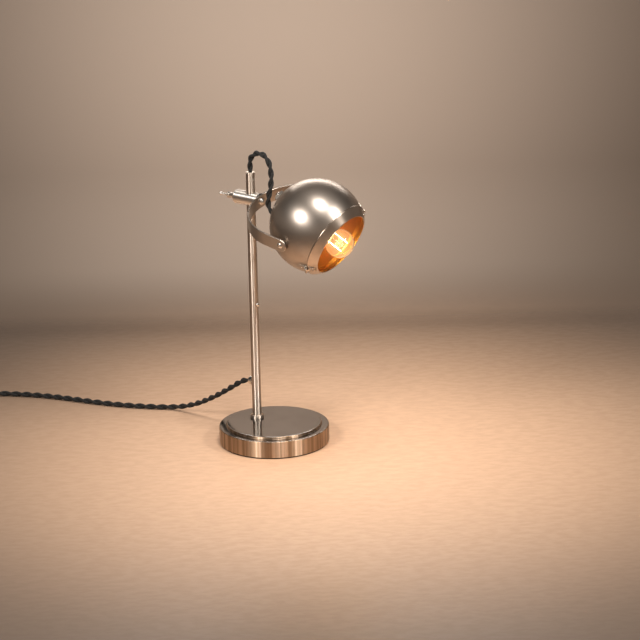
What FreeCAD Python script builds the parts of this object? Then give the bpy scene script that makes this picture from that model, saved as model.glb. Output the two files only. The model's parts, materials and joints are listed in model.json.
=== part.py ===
import FreeCAD, Part
import math
import os

# Tabletop searchlight lamp: weighted base, upright stem, sliding clamp, flat yoke, ball head.
# Millimetres, +Z up, origin at the centre of the underside of the base.
# The lamp faces -Y and the stem stands towards +Y of the centre.

V = FreeCAD.Vector
UP = V(0, 0, 1)

# ---- Fits and clearances -------------------------------------------------------------
running_fit = 0.04        # radial, between a shaft and the bore it turns or slides in
face_gap = 0.05           # between flat faces that rub
hole_play = 0.1           # radial, between a fixed screw and its hole
seam_gap = 0.25           # between the ball and the bezel that opens away from it

# ---- How cutting shapes are made ------------------------------------------------------
overrun = 1.0             # a cut runs this much past the face it opens
overlap = 0.3             # two shapes that become one piece share this much
inner_round = 0.3         # hidden inside corners

# ---- Base ----------------------------------------------------------------------------
base_diameter = 152.4
base_wall = 1.5
felt_thickness = 2.0
felt_inset = 1.7
felt_edge_round = 0.4
side_height = 23.0        # straight side of the pressed cover, above the felt
step_width = 10.2         # flat ring between the side and the raised top
step_height = 3.5
cover_edge_round = 1.4
plateau_edge_round = 2.0
plateau_foot_round = 0.8
weight_play = 0.5         # radial, between the cast weight and the cover
weight_boss_diameter = 34.0
stud_diameter = 9.8
stud_end_recess = 0.6     # of the stud's lower end above the top of the felt
nut_across_flats = 17.0
nut_height = 7.0
base_washer_diameter = 24.0
base_washer_thickness = 1.6
nut_pocket_diameter = 32.0
nut_pocket_depth = 10.0

# ---- Stem ----------------------------------------------------------------------------
stem_offset = 31.0        # stem axis behind the centre of the base
stem_diameter = 12.7
stem_bore = 10.0
stem_top = 367.4
stud_reach = 18.0         # of the base stud inside the stem
foot_collar_diameter = 19.0
foot_collar_height = 4.2
foot_collar_round = 1.2
bushing_height = 81.0     # axis of the cord bushing above the floor
bushing_diameter = 12.0
bushing_reach = 5.0       # behind the stem's surface
bushing_spigot = 8.0
bushing_spigot_depth = 2.2
bushing_saddle_depth = 1.4  # of its body over the curve of the stem
bushing_mouth_round = 1.8
cord_exit_round = 0.4
stop_height = 193.0       # screw that keeps the clamp from dropping to the base
stop_head_diameter = 6.0
stop_head_height = 2.4
stop_shank_diameter = 3.5
stop_shank_depth = 2.4
ferrule_height = 12.6
ferrule_spigot = 9.0
ferrule_top_round = 1.0
ferrule_seam_chamfer = 0.35
grub_diameter = 2.6
grub_height_in_ferrule = 3.2
grub_tip_gap = 0.3
grub_sink = 0.6
lead_diameter = 5.8

# ---- Clamp ---------------------------------------------------------------------------
clamp_height = 342.5
clamp_diameter = 19.0
clamp_rear = 27.0         # rear face behind the stem axis
clamp_nose = 15.5         # front face ahead of the stem axis
clamp_rear_round = 2.2
nose_droop = 10.0         # degrees, the bevelled nose looks this much below level
sleeve_wall = 0.8
sleeve_height = 11.0
sleeve_slot = 2.0
thumb_thread_diameter = 6.0
shoe_thickness = 2.4
thumb_root_diameter = 8.4
thumb_neck_diameter = 6.4
thumb_flange_diameter = 9.0
thumb_flange_thickness = 1.8
thumb_flange_place = 39.2   # near face of the flange behind the stem axis
thumb_tip_diameter = 5.0
thumb_tip_place = 54.5      # centre of the ball tip behind the stem axis
thumb_stalk_diameter = 2.6
thumb_hub_height = 2.4
thumb_hub_step = 0.6
thumb_edge_round = 0.5
thumb_stalk_round = 1.0
nose_washer_thickness = 1.3
nose_washer_diameter = 20.6
nose_bolt_diameter = 5.8
nose_bolt_head_diameter = 10.0
nose_bolt_head_height = 3.6
nose_bolt_depth = 6.6
nose_bolt_end_gap = 0.4

# ---- Yoke ----------------------------------------------------------------------------
yoke_roll = 15.0          # degrees about the nose bolt, near arm down
strap_width = 19.0
strap_thickness = 2.3
strap_tail = 26.0         # straight run from the end of the half circle to the pivots
strap_edge_round = 0.4    # small bevel that takes the sharpness off the strap
pivot_gap = 2.85          # between the ball and the strap, where the spacers stand
pivot_screw_diameter = 5.0
pivot_head_diameter = 8.5
pivot_head_height = 2.4
pivot_slot_width = 1.1
pivot_slot_depth = 0.9
pivot_spacer_diameter = 11.0
pivot_nut_across_flats = 8.0
pivot_nut_height = 4.0
pivot_screw_end = 1.2     # of the screw past its nut

# ---- Head ----------------------------------------------------------------------------
head_tilt = 19.5          # degrees below the yoke's own axis
ball_radius = 63.5
ball_wall = 1.2
pivot_setback = 6.5       # pivots behind the centre of the ball
seam_place = 32.0         # seam ahead of the centre of the ball
bezel_front = 43.5
bezel_overhang = 1.15     # of its rear edge outside the ball's edge at the seam
bezel_taper = 9.2         # from its rear radius to its front radius
bezel_rear_land = 1.8
bezel_edge = 0.8
bezel_land_round = 1.2
bezel_nose_round = 0.5
bezel_lip = 1.6
bezel_lip_depth = 1.6
bezel_lip_fall = 0.2
bezel_spigot_depth = 3.0
bezel_spigot_wall = 1.0
bezel_spigot_play = 0.25
globe_radius = 19.5
globe_place = 41.0
globe_wall = 0.7
neck_radius = 7.4
neck_fillet = 7.0
cap_radius = 6.8
cap_length = 20.0
cap_front = 6.0
cap_rear_radius = 4.6
cap_step = 0.6
cap_shoulder = 3.0
cap_rim = 2.0
cap_round = 0.4
cap_play = 0.2
contact_radius = 2.4
contact_height = 2.5
holder_radius = 13.5
holder_rear = -34.0
holder_front = 3.0
holder_wall = 3.0
holder_bevel = 2.5
holder_bevel_length = 9.0
holder_lip = 3.0
holder_round = 1.0
holder_spacer_radius = 8.0
nipple_diameter = 9.8
nipple_bore = 6.0
nipple_grip = 8.0         # of the nipple inside the lampholder
pole_washer_radius = 9.0
pole_washer_thickness = 1.4
pole_washer_round = 0.7
pole_nut_across_flats = 14.0
pole_nut_height = 5.0
pole_dome_radius = 5.6
pole_dome_rise = 1.5
pole_nut_floor = 1.0
gland_angle = 27.0        # from the rear pole, towards the underside
gland_diameter = 12.5
gland_reach = 6.0
gland_collar = 2.2        # straight height of the gland on the ball
gland_taper = 1.4
gland_spigot = 9.0
gland_spigot_depth = 6.0  # inside the ball
gland_nut_diameter = 12.5
gland_nut_thickness = 2.0
lead_straight = 9.0       # of the lead inside the ball, behind the gland
lead_entry_place = 7.2    # of the lead into the lampholder, ahead of the holder's rear
lead_turn_share = 0.79    # of the gland's offset that is left where the lead turns
filament_spread = 6.9     # each filament from the axis of the globe
filament_turn = 41.5      # degrees, plane of the two filaments about the axis
filament_length = 22.8
filament_rear = 26.8
filament_diameter = 0.9
mount_diameter = 7.0
mount_front = 21.0
mount_pinch = 1.5
mount_pinch_length = 4.0
mount_round = 0.5
support_diameter = 0.8
post_reach = 2.0          # of the middle wire past the filaments

# ---- Bezel hinge and catch -----------------------------------------------------------
hinge_angle = 65.0        # round the seam, from the underside towards the near pivot
hinge_leaf_width = 12.0
hinge_leaf_thickness = 0.8
hinge_leaf_reach = 8.0
hinge_leaf_gap = 0.6      # from the seam to the ball's leaf
hinge_link_reach = 3.2    # of the knuckles' links behind the seam
leaf_start_ahead = 1.4    # bezel leaf, from the rear edge of the conical band
leaf_end_behind = 1.8     # and from its front edge
hinge_pin_diameter = 1.5
hinge_knuckle_diameter = 3.4
hinge_knuckle_gap = 0.1
hinge_axis_ahead = 1.0    # of the pin, ahead of the seam
hinge_axis_clear = 0.2    # between the knuckles and the bezel
middle_knuckle_length = 4.6
hinge_link_thickness = 1.6
rivet_diameter = 2.0
rivet_height = 0.6
rivet_spacing = 6.4
rivet_set_back = 1.0      # from the middle of a leaf, away from the hinge
rivet_sink = 0.02         # of a rivet's dome into the leaf before it is trimmed
link_crest = 0.6          # rise of the bezel's link ahead of the pin
link_crest_ahead = 1.4
link_root = 1.0           # depth of the link under the leaf before it is trimmed
hinge_pin_proud = 0.3
leaf_edge_round = 0.2
catch_angle = -115.0
catch_width = 6.0
catch_thickness = 0.8
catch_reach_behind = 7.0
catch_foot_gap = 3.0      # between the seam and the foot of the spring
catch_tongue_root = 1.5   # of the tongue over its foot
catch_rivet_back = 0.8
catch_reach_ahead = 3.5
catch_stud_diameter = 3.2
catch_stud_height = 1.5
catch_stud_place = 38.0

# ---- Cords ---------------------------------------------------------------------------
cord_diameter = 7.0
arc_share = 0.45
jumper_lead_in = 8.0      # straight stretch of the jumper into the gland
coil_middle_radius = 39.0
coil_turn_pitch = 7.0
coil_columns = 2
coil_height = 20.2        # three layers, the top turn lying in the groove below it
coil_approach = 40.0      # from the switch to where the cord joins the outer turn
coil_lead_turn = 16.0     # from the switch to where the cord begins to drop
coil_lead_end = 34.4      # from the switch to the last point before the outer turn
coil_edge_round = 3.0
coil_rest_height = 0.8
tie_width = 9.0
tie_thickness = 0.8
tie_angle = 100.0         # round the coil
switch_length = 58.0
switch_width = 24.0
switch_height = 17.0
switch_edge_round = 4.0
switch_end_wall = 9.0
switch_side_wall = 3.0
switch_cord_grip = 0.3    # radial, how far the shells' bore bites into the cord
switch_heading = V(-0.6, 0.8, 0)
rocker_length = 15.0
rocker_width = 9.0
rocker_proud = 2.2
rocker_play = 0.3
rocker_rest_angle = 8.0
rocker_taper = 1.2
rocker_depth = 2.6        # below its axle
rocker_dish_radius = 34.0
rocker_dish_depth = 1.0
rocker_axle_diameter = 2.4
rocker_axle_depth = 2.0   # below the top of the switch
rocker_axle_grip = 2.0    # of the axle in the shell at each end
plug_length = 27.0
plug_width = 23.0
plug_height = 14.0
plug_neck_width = 10.0
plug_waist_inset = 2.4
plug_waist_place = 0.45   # share of the plug's length
plug_waist_round = 20.0
plug_grip_round = 3.0
plug_face_round = 2.0
plug_edge_round = 1.5
plug_rear_place = V(-20.0, 5.0, 0)   # from the centre of the coil
plug_turn = -8.0
plug_approach = V(-8.5, -1.2, 0)     # last bend of the cord, from the rear of the plug
blade_length = 16.0
blade_width = 6.3
blade_thickness = 1.5
blade_spacing = 12.7
blade_root = 8.0

# Route of the jumper from the top of the stem to the gland in the ball, in the plane of
# the stem and then forwards. Chosen by hand; each point is a corner of the route.
JUMPER_POINTS = [
    V(0.0, 31.0, 380.0),
    V(0.0, 31.0, 387.5),
    V(0.1, 31.6, 395.0),
    V(0.0, 28.0, 402.2),
    V(-0.1, 21.0, 407.2),
    V(0.0, 12.2, 408.8),
    V(0.1, 3.6, 405.8),
    V(0.0, -2.6, 398.8),
    V(-0.1, -5.6, 389.2),
    V(0.0, -6.6, 377.0),
    V(0.1, -4.8, 363.5),
    V(0.3, -0.6, 350.8),
    V(0.9, 1.6, 340.2),
    V(1.6, -0.4, 331.8),
]

# Route of the mains cord from the bushing to the switch, before the floor and along it.
MAINS_POINTS = [
    V(0.0, 42.35, 81.0),
    V(0.4, 55.0, 78.4),
    V(2.0, 74.0, 65.8),
    V(5.0, 98.0, 50.6),
    V(8.6, 124.0, 35.4),
    V(12.4, 153.0, 20.6),
    V(14.6, 182.0, 9.2),
    V(10.2, 206.0, 3.9),
    V(-1.6, 224.0, 3.5),
    V(-11.4, 242.0, 3.5),
    V(-22.4, 265.0, 3.5),
    V(-33.6, 294.0, 3.5),
    V(-42.9, 326.0, 3.5),
    V(-50.9, 356.0, 3.5),
    V(-59.8, 384.0, 3.5),
    V(-70.6, 409.5, 3.5),
    V(-83.6, 434.0, 3.5),
    V(-97.4, 455.0, 3.6),
    V(-110.0, 473.0, 8.5),
    V(-119.0, 485.0, 8.5),
]

# Where the inner turn leaves the coil, from the coil's centre.
COIL_EXIT_POINTS = [
    V(-35.5, -13.0, 0.0),
    V(-34.0, -3.0, 0.0),
]

# ---- Values worked out from the driving dimensions -----------------------------------
base_radius = base_diameter / 2
shoulder_z = felt_thickness + side_height
base_top = shoulder_z + step_height
plateau_radius = base_radius - step_width
weight_top = shoulder_z - base_wall
pocket_top = felt_thickness + nut_pocket_depth
stem_radius = stem_diameter / 2
stem_axis = V(0, stem_offset, 0)
ferrule_top = stem_top + ferrule_height
bushing_mouth = stem_offset + stem_radius + bushing_reach
clamp_radius = clamp_diameter / 2
clamp_center = V(0, stem_offset, clamp_height)
sleeve_outer = stem_radius + running_fit + sleeve_wall
strap_inner = ball_radius + pivot_gap
strap_radius = strap_inner + strap_thickness / 2    # middle of the strap, round the web
strap_outer = strap_inner + strap_thickness
web_face = nose_washer_thickness + face_gap
web_middle = web_face + strap_thickness / 2
bend_center = web_middle + strap_radius
pivot_reach = bend_center + strap_tail
ball_place = pivot_setback
seam_radius = math.sqrt(ball_radius ** 2 - seam_place ** 2)
bezel_rear_radius = seam_radius + bezel_overhang
bezel_front_radius = bezel_rear_radius - bezel_taper
bezel_rear = seam_place + seam_gap
band_rear = bezel_rear + bezel_rear_land
band_front = bezel_front - bezel_nose_round
band_slope = (bezel_rear_radius - bezel_front_radius - bezel_nose_round) / (band_front - band_rear)
hinge_radius = bezel_rear_radius + hinge_knuckle_diameter / 2 + hinge_axis_clear
hinge_place = seam_place + hinge_axis_ahead
cap_rear = cap_front - cap_length
contact_rear = cap_rear - contact_height
pole_seat = -ball_radius - pole_washer_thickness
pole_nut_rear = pole_seat - pole_nut_height
gland_mouth_reach = ball_radius + gland_reach
leaf_window = ball_radius     # of a block that keeps one side of a skin
cut_block = 6 * ball_radius   # side of a block that takes away half of the space

# Directions: local X towards the near pivot, local Y down, local Z out of the nose.
level_aim = FreeCAD.Rotation(V(1, 0, 0), 90).multiply(FreeCAD.Rotation(UP, 180))
nose_turn = FreeCAD.Rotation(V(1, 0, 0), nose_droop).multiply(level_aim)
yoke_turn = nose_turn.multiply(FreeCAD.Rotation(UP, yoke_roll))
head_turn = yoke_turn.multiply(FreeCAD.Rotation(V(1, 0, 0), -head_tilt))
nose_point = clamp_center + V(0, -clamp_nose, 0)
nose_axis = nose_turn.multVec(UP)
pivot_point = nose_point + nose_axis * pivot_reach
beam_axis = head_turn.multVec(UP)
ball_center = pivot_point + beam_axis * ball_place

NOSE = FreeCAD.Placement(nose_point, nose_turn)
YOKE = FreeCAD.Placement(nose_point, yoke_turn)
BALL = FreeCAD.Placement(ball_center, head_turn)


# ---- Shape helpers -------------------------------------------------------------------
def put(shape, placement):
    """A copy of a shape built in local axes, moved to its place on the lamp."""
    moved = shape.copy()
    moved.Placement = placement.multiply(moved.Placement)
    return moved


def save(name, shape):
    """Write one sub-part, after checking that it is sound."""
    if not shape.isValid() or shape.Volume <= 0:
        raise ValueError(name + " is not a valid solid")
    shape.exportStep("parts/" + name + ".step")
    print(name, "solids", len(shape.Solids), "volume", round(shape.Volume, 1))


def corner_cut(before, corner, after, radius):
    """Where an arc of the given radius leaves and meets the two runs at a corner."""
    inward = (corner - before).normalize()
    outward = (after - corner).normalize()
    half_turn = inward.getAngle(outward) / 2
    setback = radius * math.tan(half_turn)
    start = corner - inward * setback
    end = corner + outward * setback
    toward = (outward - inward).normalize()
    middle = corner + toward * (radius / math.cos(half_turn) - radius)
    return start, middle, end


def rounded_edges(points, radii, closed):
    """Straight runs through the points, joined by tangent arcs where a radius is given."""
    count = len(points)
    corners = []
    for index, point in enumerate(points):
        is_end = not closed and index in (0, count - 1)
        if radii[index] <= 0 or is_end:
            corners.append((point, None, point))
            continue
        before = points[index - 1]
        after = points[(index + 1) % count]
        corners.append(corner_cut(before, point, after, radii[index]))
    edges = []
    for index, corner in enumerate(corners):
        if corner[1] is not None:
            edges.append(Part.Arc(corner[0], corner[1], corner[2]).toShape())
        if index == count - 1 and not closed:
            break
        start = corner[2]
        end = corners[(index + 1) % count][0]
        if start.distanceToPoint(end) > 1e-6:
            edges.append(Part.LineSegment(start, end).toShape())
    return edges


def turned(profile):
    """A turned piece about local Z, from (radius, height, corner rounding) points."""
    points = [V(radius, 0, height) for radius, height, rounding in profile]
    radii = [rounding for radius, height, rounding in profile]
    outline = Part.Face(Part.Wire(rounded_edges(points, radii, True)))
    return outline.revolve(V(0, 0, 0), UP, 360)


def rod(diameter, length, start, direction=UP):
    return Part.makeCylinder(diameter / 2, length, start, direction)


def tube(outer, inner, length, start, direction=UP):
    """A round tube of two diameters."""
    return rod(outer, length, start, direction).cut(rod(inner, length, start, direction))


def block(size_x, size_y, size_z, center):
    """A box centred on a point."""
    corner = center - V(size_x, size_y, size_z) / 2
    return Part.makeBox(size_x, size_y, size_z, corner)


def hex_prism(across_flats, height, bottom):
    """A hexagonal prism standing on local Z at a bottom height."""
    corner_radius = across_flats / math.sqrt(3)
    points = []
    for step in range(7):
        angle = math.radians(60 * step)
        points.append(V(corner_radius * math.cos(angle), corner_radius * math.sin(angle), bottom))
    return Part.Face(Part.makePolygon(points)).extrude(V(0, 0, height))


def dome(diameter, height, base_height):
    """A low spherical cap standing on local Z."""
    half = diameter / 2
    sphere_radius = (half ** 2 + height ** 2) / (2 * height)
    sphere = Part.makeSphere(sphere_radius, V(0, 0, base_height + height - sphere_radius))
    return sphere.common(rod(diameter + 1, height, V(0, 0, base_height)))


def cord_radii(points):
    """Bend radius at each point: as large as the two runs beside it allow."""
    radii = [0.0]
    for before, corner, after in zip(points, points[1:], points[2:]):
        inward = corner - before
        outward = after - corner
        half_turn = inward.getAngle(outward) / 2
        shorter = min(inward.Length, outward.Length)
        radii.append(arc_share * shorter / math.tan(half_turn))
    return radii + [0.0]


def cord_tube(name, points, diameter=cord_diameter):
    """A plain round cord along a route; prints its radii and compares its volume."""
    radii = cord_radii(points)
    path = Part.Wire(rounded_edges(points, radii, False))
    heading = points[1] - points[0]
    section = Part.Wire(Part.makeCircle(diameter / 2, points[0], heading))
    body = path.makePipeShell([section], True, False)
    expected = math.pi * diameter ** 2 / 4 * path.Length
    print(name, "length", round(path.Length, 1), "volume/expected", round(body.Volume / expected, 4))
    print(name, "radii", [round(radius, 1) for radius in radii[1:-1]])
    return body


# ---- Base ----------------------------------------------------------------------------
def make_felt_pad():
    radius = base_radius - felt_inset
    return turned([
        (0, 0, 0),
        (radius, 0, felt_edge_round),
        (radius, felt_thickness, 0),
        (0, felt_thickness, 0),
    ])


def make_base_cover():
    """Pressed shell with a straight side, a flat ring and a raised round top."""
    wall = base_wall
    inner_plateau = plateau_radius - wall
    cover = turned([
        (0, base_top, 0),
        (plateau_radius, base_top, plateau_edge_round),
        (plateau_radius, shoulder_z, plateau_foot_round),
        (base_radius, shoulder_z, cover_edge_round),
        (base_radius, felt_thickness, 0),
        (base_radius - wall, felt_thickness, 0),
        (base_radius - wall, shoulder_z - wall, inner_round),
        (inner_plateau, shoulder_z - wall, inner_round),
        (inner_plateau, base_top - wall, inner_round),
        (0, base_top - wall, 0),
    ])
    hole = rod(stud_diameter + 2 * hole_play, base_top, stem_axis)
    return cover.cut(hole)


def make_base_weight():
    """Cast disc that fills the cover, with a boss under the stem and a pocket for the nut."""
    disc = rod(
        2 * (base_radius - base_wall - weight_play), weight_top - felt_thickness, UP * felt_thickness
    )
    boss = rod(
        weight_boss_diameter, base_top - base_wall - felt_thickness, stem_axis + UP * felt_thickness
    )
    pocket = rod(nut_pocket_diameter, nut_pocket_depth, stem_axis + UP * felt_thickness)
    hole = rod(stud_diameter + 2 * hole_play, base_top, stem_axis)
    return disc.fuse(boss).removeSplitter().cut(pocket).cut(hole)


def make_base_stud():
    bottom = felt_thickness + stud_end_recess
    return rod(stud_diameter, base_top + stud_reach - bottom, stem_axis + UP * bottom)


def make_base_nut():
    bottom = pocket_top - base_washer_thickness - nut_height
    nut = hex_prism(nut_across_flats, nut_height, bottom)
    nut = nut.cut(rod(stud_diameter, nut_height, UP * bottom))
    return put(nut, FreeCAD.Placement(stem_axis, FreeCAD.Rotation()))


def make_base_washer():
    bottom = stem_axis + UP * (pocket_top - base_washer_thickness)
    return tube(base_washer_diameter, stud_diameter + 2 * hole_play, base_washer_thickness, bottom)


# ---- Stem ----------------------------------------------------------------------------
def make_stem_tube():
    stem = tube(stem_diameter, stem_bore, stem_top - base_top, stem_axis + UP * base_top)
    reach = stem_radius + overrun
    cord_hole = rod(bushing_spigot, reach, stem_axis + UP * bushing_height, V(0, 1, 0))
    screw_hole = rod(stop_shank_diameter, reach, stem_axis + UP * stop_height, V(0, -1, 0))
    return stem.cut(cord_hole).cut(screw_hole)


def make_foot_collar():
    """Turned ring that trims the foot of the stem."""
    collar = turned([
        (stem_radius, 0, 0),
        (foot_collar_diameter / 2, 0, 0),
        (foot_collar_diameter / 2, foot_collar_height, foot_collar_round),
        (stem_radius, foot_collar_height, 0),
    ])
    return put(collar, FreeCAD.Placement(stem_axis + UP * base_top, FreeCAD.Rotation()))


def make_cord_bushing():
    """Turned bushing, with a spigot through the stem's wall and a rounded mouth."""
    mouth = bushing_mouth - stem_offset
    bore = cord_diameter / 2
    spigot_start = stem_radius - bushing_spigot_depth
    body_start = stem_radius - bushing_saddle_depth
    bushing = turned([
        (bore, spigot_start, 0),
        (bushing_spigot / 2, spigot_start, 0),
        (bushing_spigot / 2, body_start, 0),
        (bushing_diameter / 2, body_start, 0),
        (bushing_diameter / 2, mouth, bushing_mouth_round),
        (bore, mouth, cord_exit_round),
    ])
    backward = FreeCAD.Rotation(V(1, 0, 0), -90)
    axis_point = stem_axis + UP * bushing_height
    placed = put(bushing, FreeCAD.Placement(axis_point, backward))
    stem = rod(stem_diameter, 2 * bushing_diameter, axis_point - UP * bushing_diameter)
    hole = rod(bushing_spigot, bushing_mouth, axis_point, V(0, 1, 0))
    lead = rod(lead_diameter, bushing_diameter, axis_point)
    return placed.cut(stem.cut(hole)).cut(lead)


def make_stop_screw():
    screw = dome(stop_head_diameter, stop_head_height, stem_radius)
    shank = rod(stop_shank_diameter, stop_shank_depth + overlap, UP * (stem_radius - stop_shank_depth))
    forward = FreeCAD.Rotation(V(1, 0, 0), 90)
    placement = FreeCAD.Placement(stem_axis + UP * stop_height, forward)
    return put(screw.fuse(shank).removeSplitter(), placement)


def make_stem_ferrule():
    """Cap at the top of the stem, with a spigot in the tube and a bore for the cord."""
    bore = lead_diameter / 2
    spigot = stem_bore / 2
    ferrule = turned([
        (bore, stem_top - ferrule_spigot, 0),
        (spigot, stem_top - ferrule_spigot, 0),
        (spigot, stem_top, 0),
        (stem_radius - ferrule_seam_chamfer, stem_top, 0),
        (stem_radius, stem_top + ferrule_seam_chamfer, 0),
        (stem_radius, ferrule_top, ferrule_top_round),
        (bore, ferrule_top, 0),
    ])
    grub = rod(grub_diameter, stem_radius, UP * (stem_top + grub_height_in_ferrule), V(0, -1, 0))
    return put(ferrule.cut(grub), FreeCAD.Placement(stem_axis, FreeCAD.Rotation()))


def make_ferrule_screw():
    """Grub screw that holds the ferrule, sunk a little below its surface."""
    tip = lead_diameter / 2 + grub_tip_gap
    start = stem_axis + V(0, -tip, stem_top + grub_height_in_ferrule)
    return rod(grub_diameter, stem_radius - grub_sink - tip, start, V(0, -1, 0))


def make_stem_lead():
    """The cord inside the stem, from the bushing up to the ferrule."""
    elbow = stem_axis + UP * bushing_height
    rise = rod(lead_diameter, ferrule_top - bushing_height, elbow)
    spur = rod(lead_diameter, bushing_mouth - stem_offset, elbow, V(0, 1, 0))
    return rise.fuse(spur).fuse(Part.makeSphere(lead_diameter / 2, elbow)).removeSplitter()


# ---- Clamp ---------------------------------------------------------------------------
def make_friction_sleeve():
    """Split sleeve between the stem and the clamp."""
    bottom = clamp_center - UP * sleeve_height / 2
    bore = stem_diameter + 2 * running_fit
    sleeve = tube(2 * sleeve_outer, bore, sleeve_height, bottom)
    slot_center = clamp_center - V(0, stem_diameter, 0) / 2
    slot = block(sleeve_slot, stem_diameter, sleeve_height + overrun, slot_center)
    return sleeve.cut(slot)


def make_clamp_block():
    """Cross bar bored for the stem, bevelled at the nose and threaded from behind."""
    front_allowance = clamp_radius * math.tan(math.radians(nose_droop)) + overrun
    length = clamp_rear + clamp_nose + front_allowance
    bar = turned([
        (0, -clamp_rear, 0),
        (clamp_radius, -clamp_rear, clamp_rear_round),
        (clamp_radius, length - clamp_rear, 0),
        (0, length - clamp_rear, 0),
    ])
    bar = put(bar, FreeCAD.Placement(clamp_center, level_aim))
    ahead = put(block(cut_block, cut_block, cut_block, UP * cut_block / 2), NOSE)
    bore = rod(stem_diameter + 2 * running_fit, 2 * clamp_diameter, clamp_center - UP * clamp_diameter)
    groove_height = sleeve_height + 2 * face_gap
    groove = rod(2 * (sleeve_outer + running_fit), groove_height, clamp_center - UP * groove_height / 2)
    thread = rod(thumb_thread_diameter, clamp_rear + overrun, clamp_center, V(0, 1, 0))
    bolt_hole = put(rod(nose_bolt_diameter, nose_bolt_depth, UP * -nose_bolt_depth), NOSE)
    return bar.cut(ahead).cut(bore).cut(groove).cut(thread).cut(bolt_hole)


def make_clamp_shoe():
    """Brass pad that the thumb screw presses onto the sleeve."""
    length = sleeve_outer + shoe_thickness
    shoe = rod(thumb_thread_diameter - 2 * hole_play, length, clamp_center, V(0, 1, 0))
    reach = sleeve_outer + running_fit
    cavity = rod(2 * reach, 2 * clamp_diameter, clamp_center - UP * clamp_diameter)
    return shoe.cut(cavity)


def make_thumb_screw():
    """Turned finial screw: threaded shank, tapered body, flange, stalk and ball tip."""
    thread = thumb_thread_diameter / 2 - running_fit
    root = thumb_root_diameter / 2
    neck = thumb_neck_diameter / 2
    flange = thumb_flange_diameter / 2
    stalk = thumb_stalk_diameter / 2
    edge = thumb_edge_round
    start = sleeve_outer + shoe_thickness + face_gap
    seat = clamp_rear + face_gap
    flange_end = thumb_flange_place + thumb_flange_thickness
    screw = turned([
        (0, start, 0),
        (thread, start, edge),
        (thread, seat, 0),
        (root, seat, edge),
        (neck, thumb_flange_place, edge),
        (flange, thumb_flange_place, edge),
        (flange, flange_end, edge),
        (neck - thumb_hub_step, flange_end, edge),
        (stalk, flange_end + thumb_hub_height, thumb_stalk_round),
        (stalk, thumb_tip_place, 0),
        (0, thumb_tip_place, 0),
    ])
    tip = Part.makeSphere(thumb_tip_diameter / 2, UP * thumb_tip_place)
    backward = FreeCAD.Rotation(V(1, 0, 0), -90)
    return put(screw.fuse(tip).removeSplitter(), FreeCAD.Placement(clamp_center, backward))


def make_nose_washer():
    return put(tube(nose_washer_diameter, nose_bolt_diameter, nose_washer_thickness, V(0, 0, 0)), NOSE)


def make_nose_bolt():
    """Domed bolt on which the yoke rolls; its head clears the curved web."""
    head_half = nose_bolt_head_diameter / 2
    web_sag = strap_inner - math.sqrt(strap_inner ** 2 - head_half ** 2)
    seat = web_face + strap_thickness + web_sag + face_gap
    shank_start = nose_bolt_end_gap - nose_bolt_depth
    shank = rod(nose_bolt_diameter, seat - shank_start + overlap, UP * shank_start)
    head = dome(nose_bolt_head_diameter, nose_bolt_head_height, seat)
    return put(shank.fuse(head).removeSplitter(), NOSE)


# ---- Yoke ----------------------------------------------------------------------------
def make_yoke_strap():
    """Flat strap bent to a half circle with straight tails and rounded ends."""
    half = strap_width / 2
    ring = tube(2 * strap_outer, 2 * strap_inner, strap_width, V(0, -half, bend_center), V(0, 1, 0))
    ring = ring.cut(block(cut_block, cut_block, cut_block, UP * (bend_center + cut_block / 2)))
    strap = ring
    for side in (-1, 1):
        tail_center = V(side * strap_radius, 0, bend_center + strap_tail / 2)
        tail = block(strap_thickness, strap_width, strap_tail, tail_center)
        end_start = V(side * strap_radius - strap_thickness / 2, 0, pivot_reach)
        end = rod(strap_width, strap_thickness, end_start, V(1, 0, 0))
        strap = strap.fuse(tail).fuse(end)
    strap = strap.removeSplitter()
    strap = strap.makeChamfer(strap_edge_round, [edge for edge in strap.Edges if on_strap_side(edge)])
    hole_start = V(-1.5 * strap_outer, 0, pivot_reach)
    pivot_hole = rod(pivot_screw_diameter + 2 * running_fit, 3 * strap_outer, hole_start, V(1, 0, 0))
    bolt_hole = rod(nose_bolt_diameter + 2 * running_fit, 2 * bend_center, UP * -bend_center / 2)
    return put(strap.cut(pivot_hole).cut(bolt_hole), YOKE)


def on_strap_side(edge):
    """Whether an edge outlines one of the strap's two narrow sides."""
    box = edge.BoundBox
    return box.YLength > 1e-6 or abs(abs(box.YMin) - strap_width / 2) < 1e-6


# ---- Head, in axes at the centre of the ball -----------------------------------------
def full_ball():
    return Part.makeSphere(ball_radius)


def make_ball_shell():
    """Spun ball, open at the seam and pierced for the pivots, the holder and the gland."""
    shell = full_ball().cut(Part.makeSphere(ball_radius - ball_wall))
    shell = shell.cut(block(cut_block, cut_block, cut_block, UP * (seam_place + cut_block / 2)))
    pivot_start = V(-1.5 * ball_radius, 0, -pivot_setback)
    pivots = rod(pivot_screw_diameter, 3 * ball_radius, pivot_start, V(1, 0, 0))
    pole = rod(nipple_diameter, ball_radius + overrun, V(0, 0, 0), V(0, 0, -1))
    gland = rod(gland_spigot, ball_radius + overrun, V(0, 0, 0), gland_direction())
    return put(shell.cut(pivots).cut(pole).cut(gland), BALL)


def gland_direction():
    angle = math.radians(gland_angle)
    return V(0, math.sin(angle), -math.cos(angle))


def side_axis(side):
    """Axes at a pivot, local Z outwards along the pivot."""
    turn = FreeCAD.Rotation(V(0, 1, 0), 90 * side)
    return FreeCAD.Placement(V(0, 0, -pivot_setback), turn)


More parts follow.
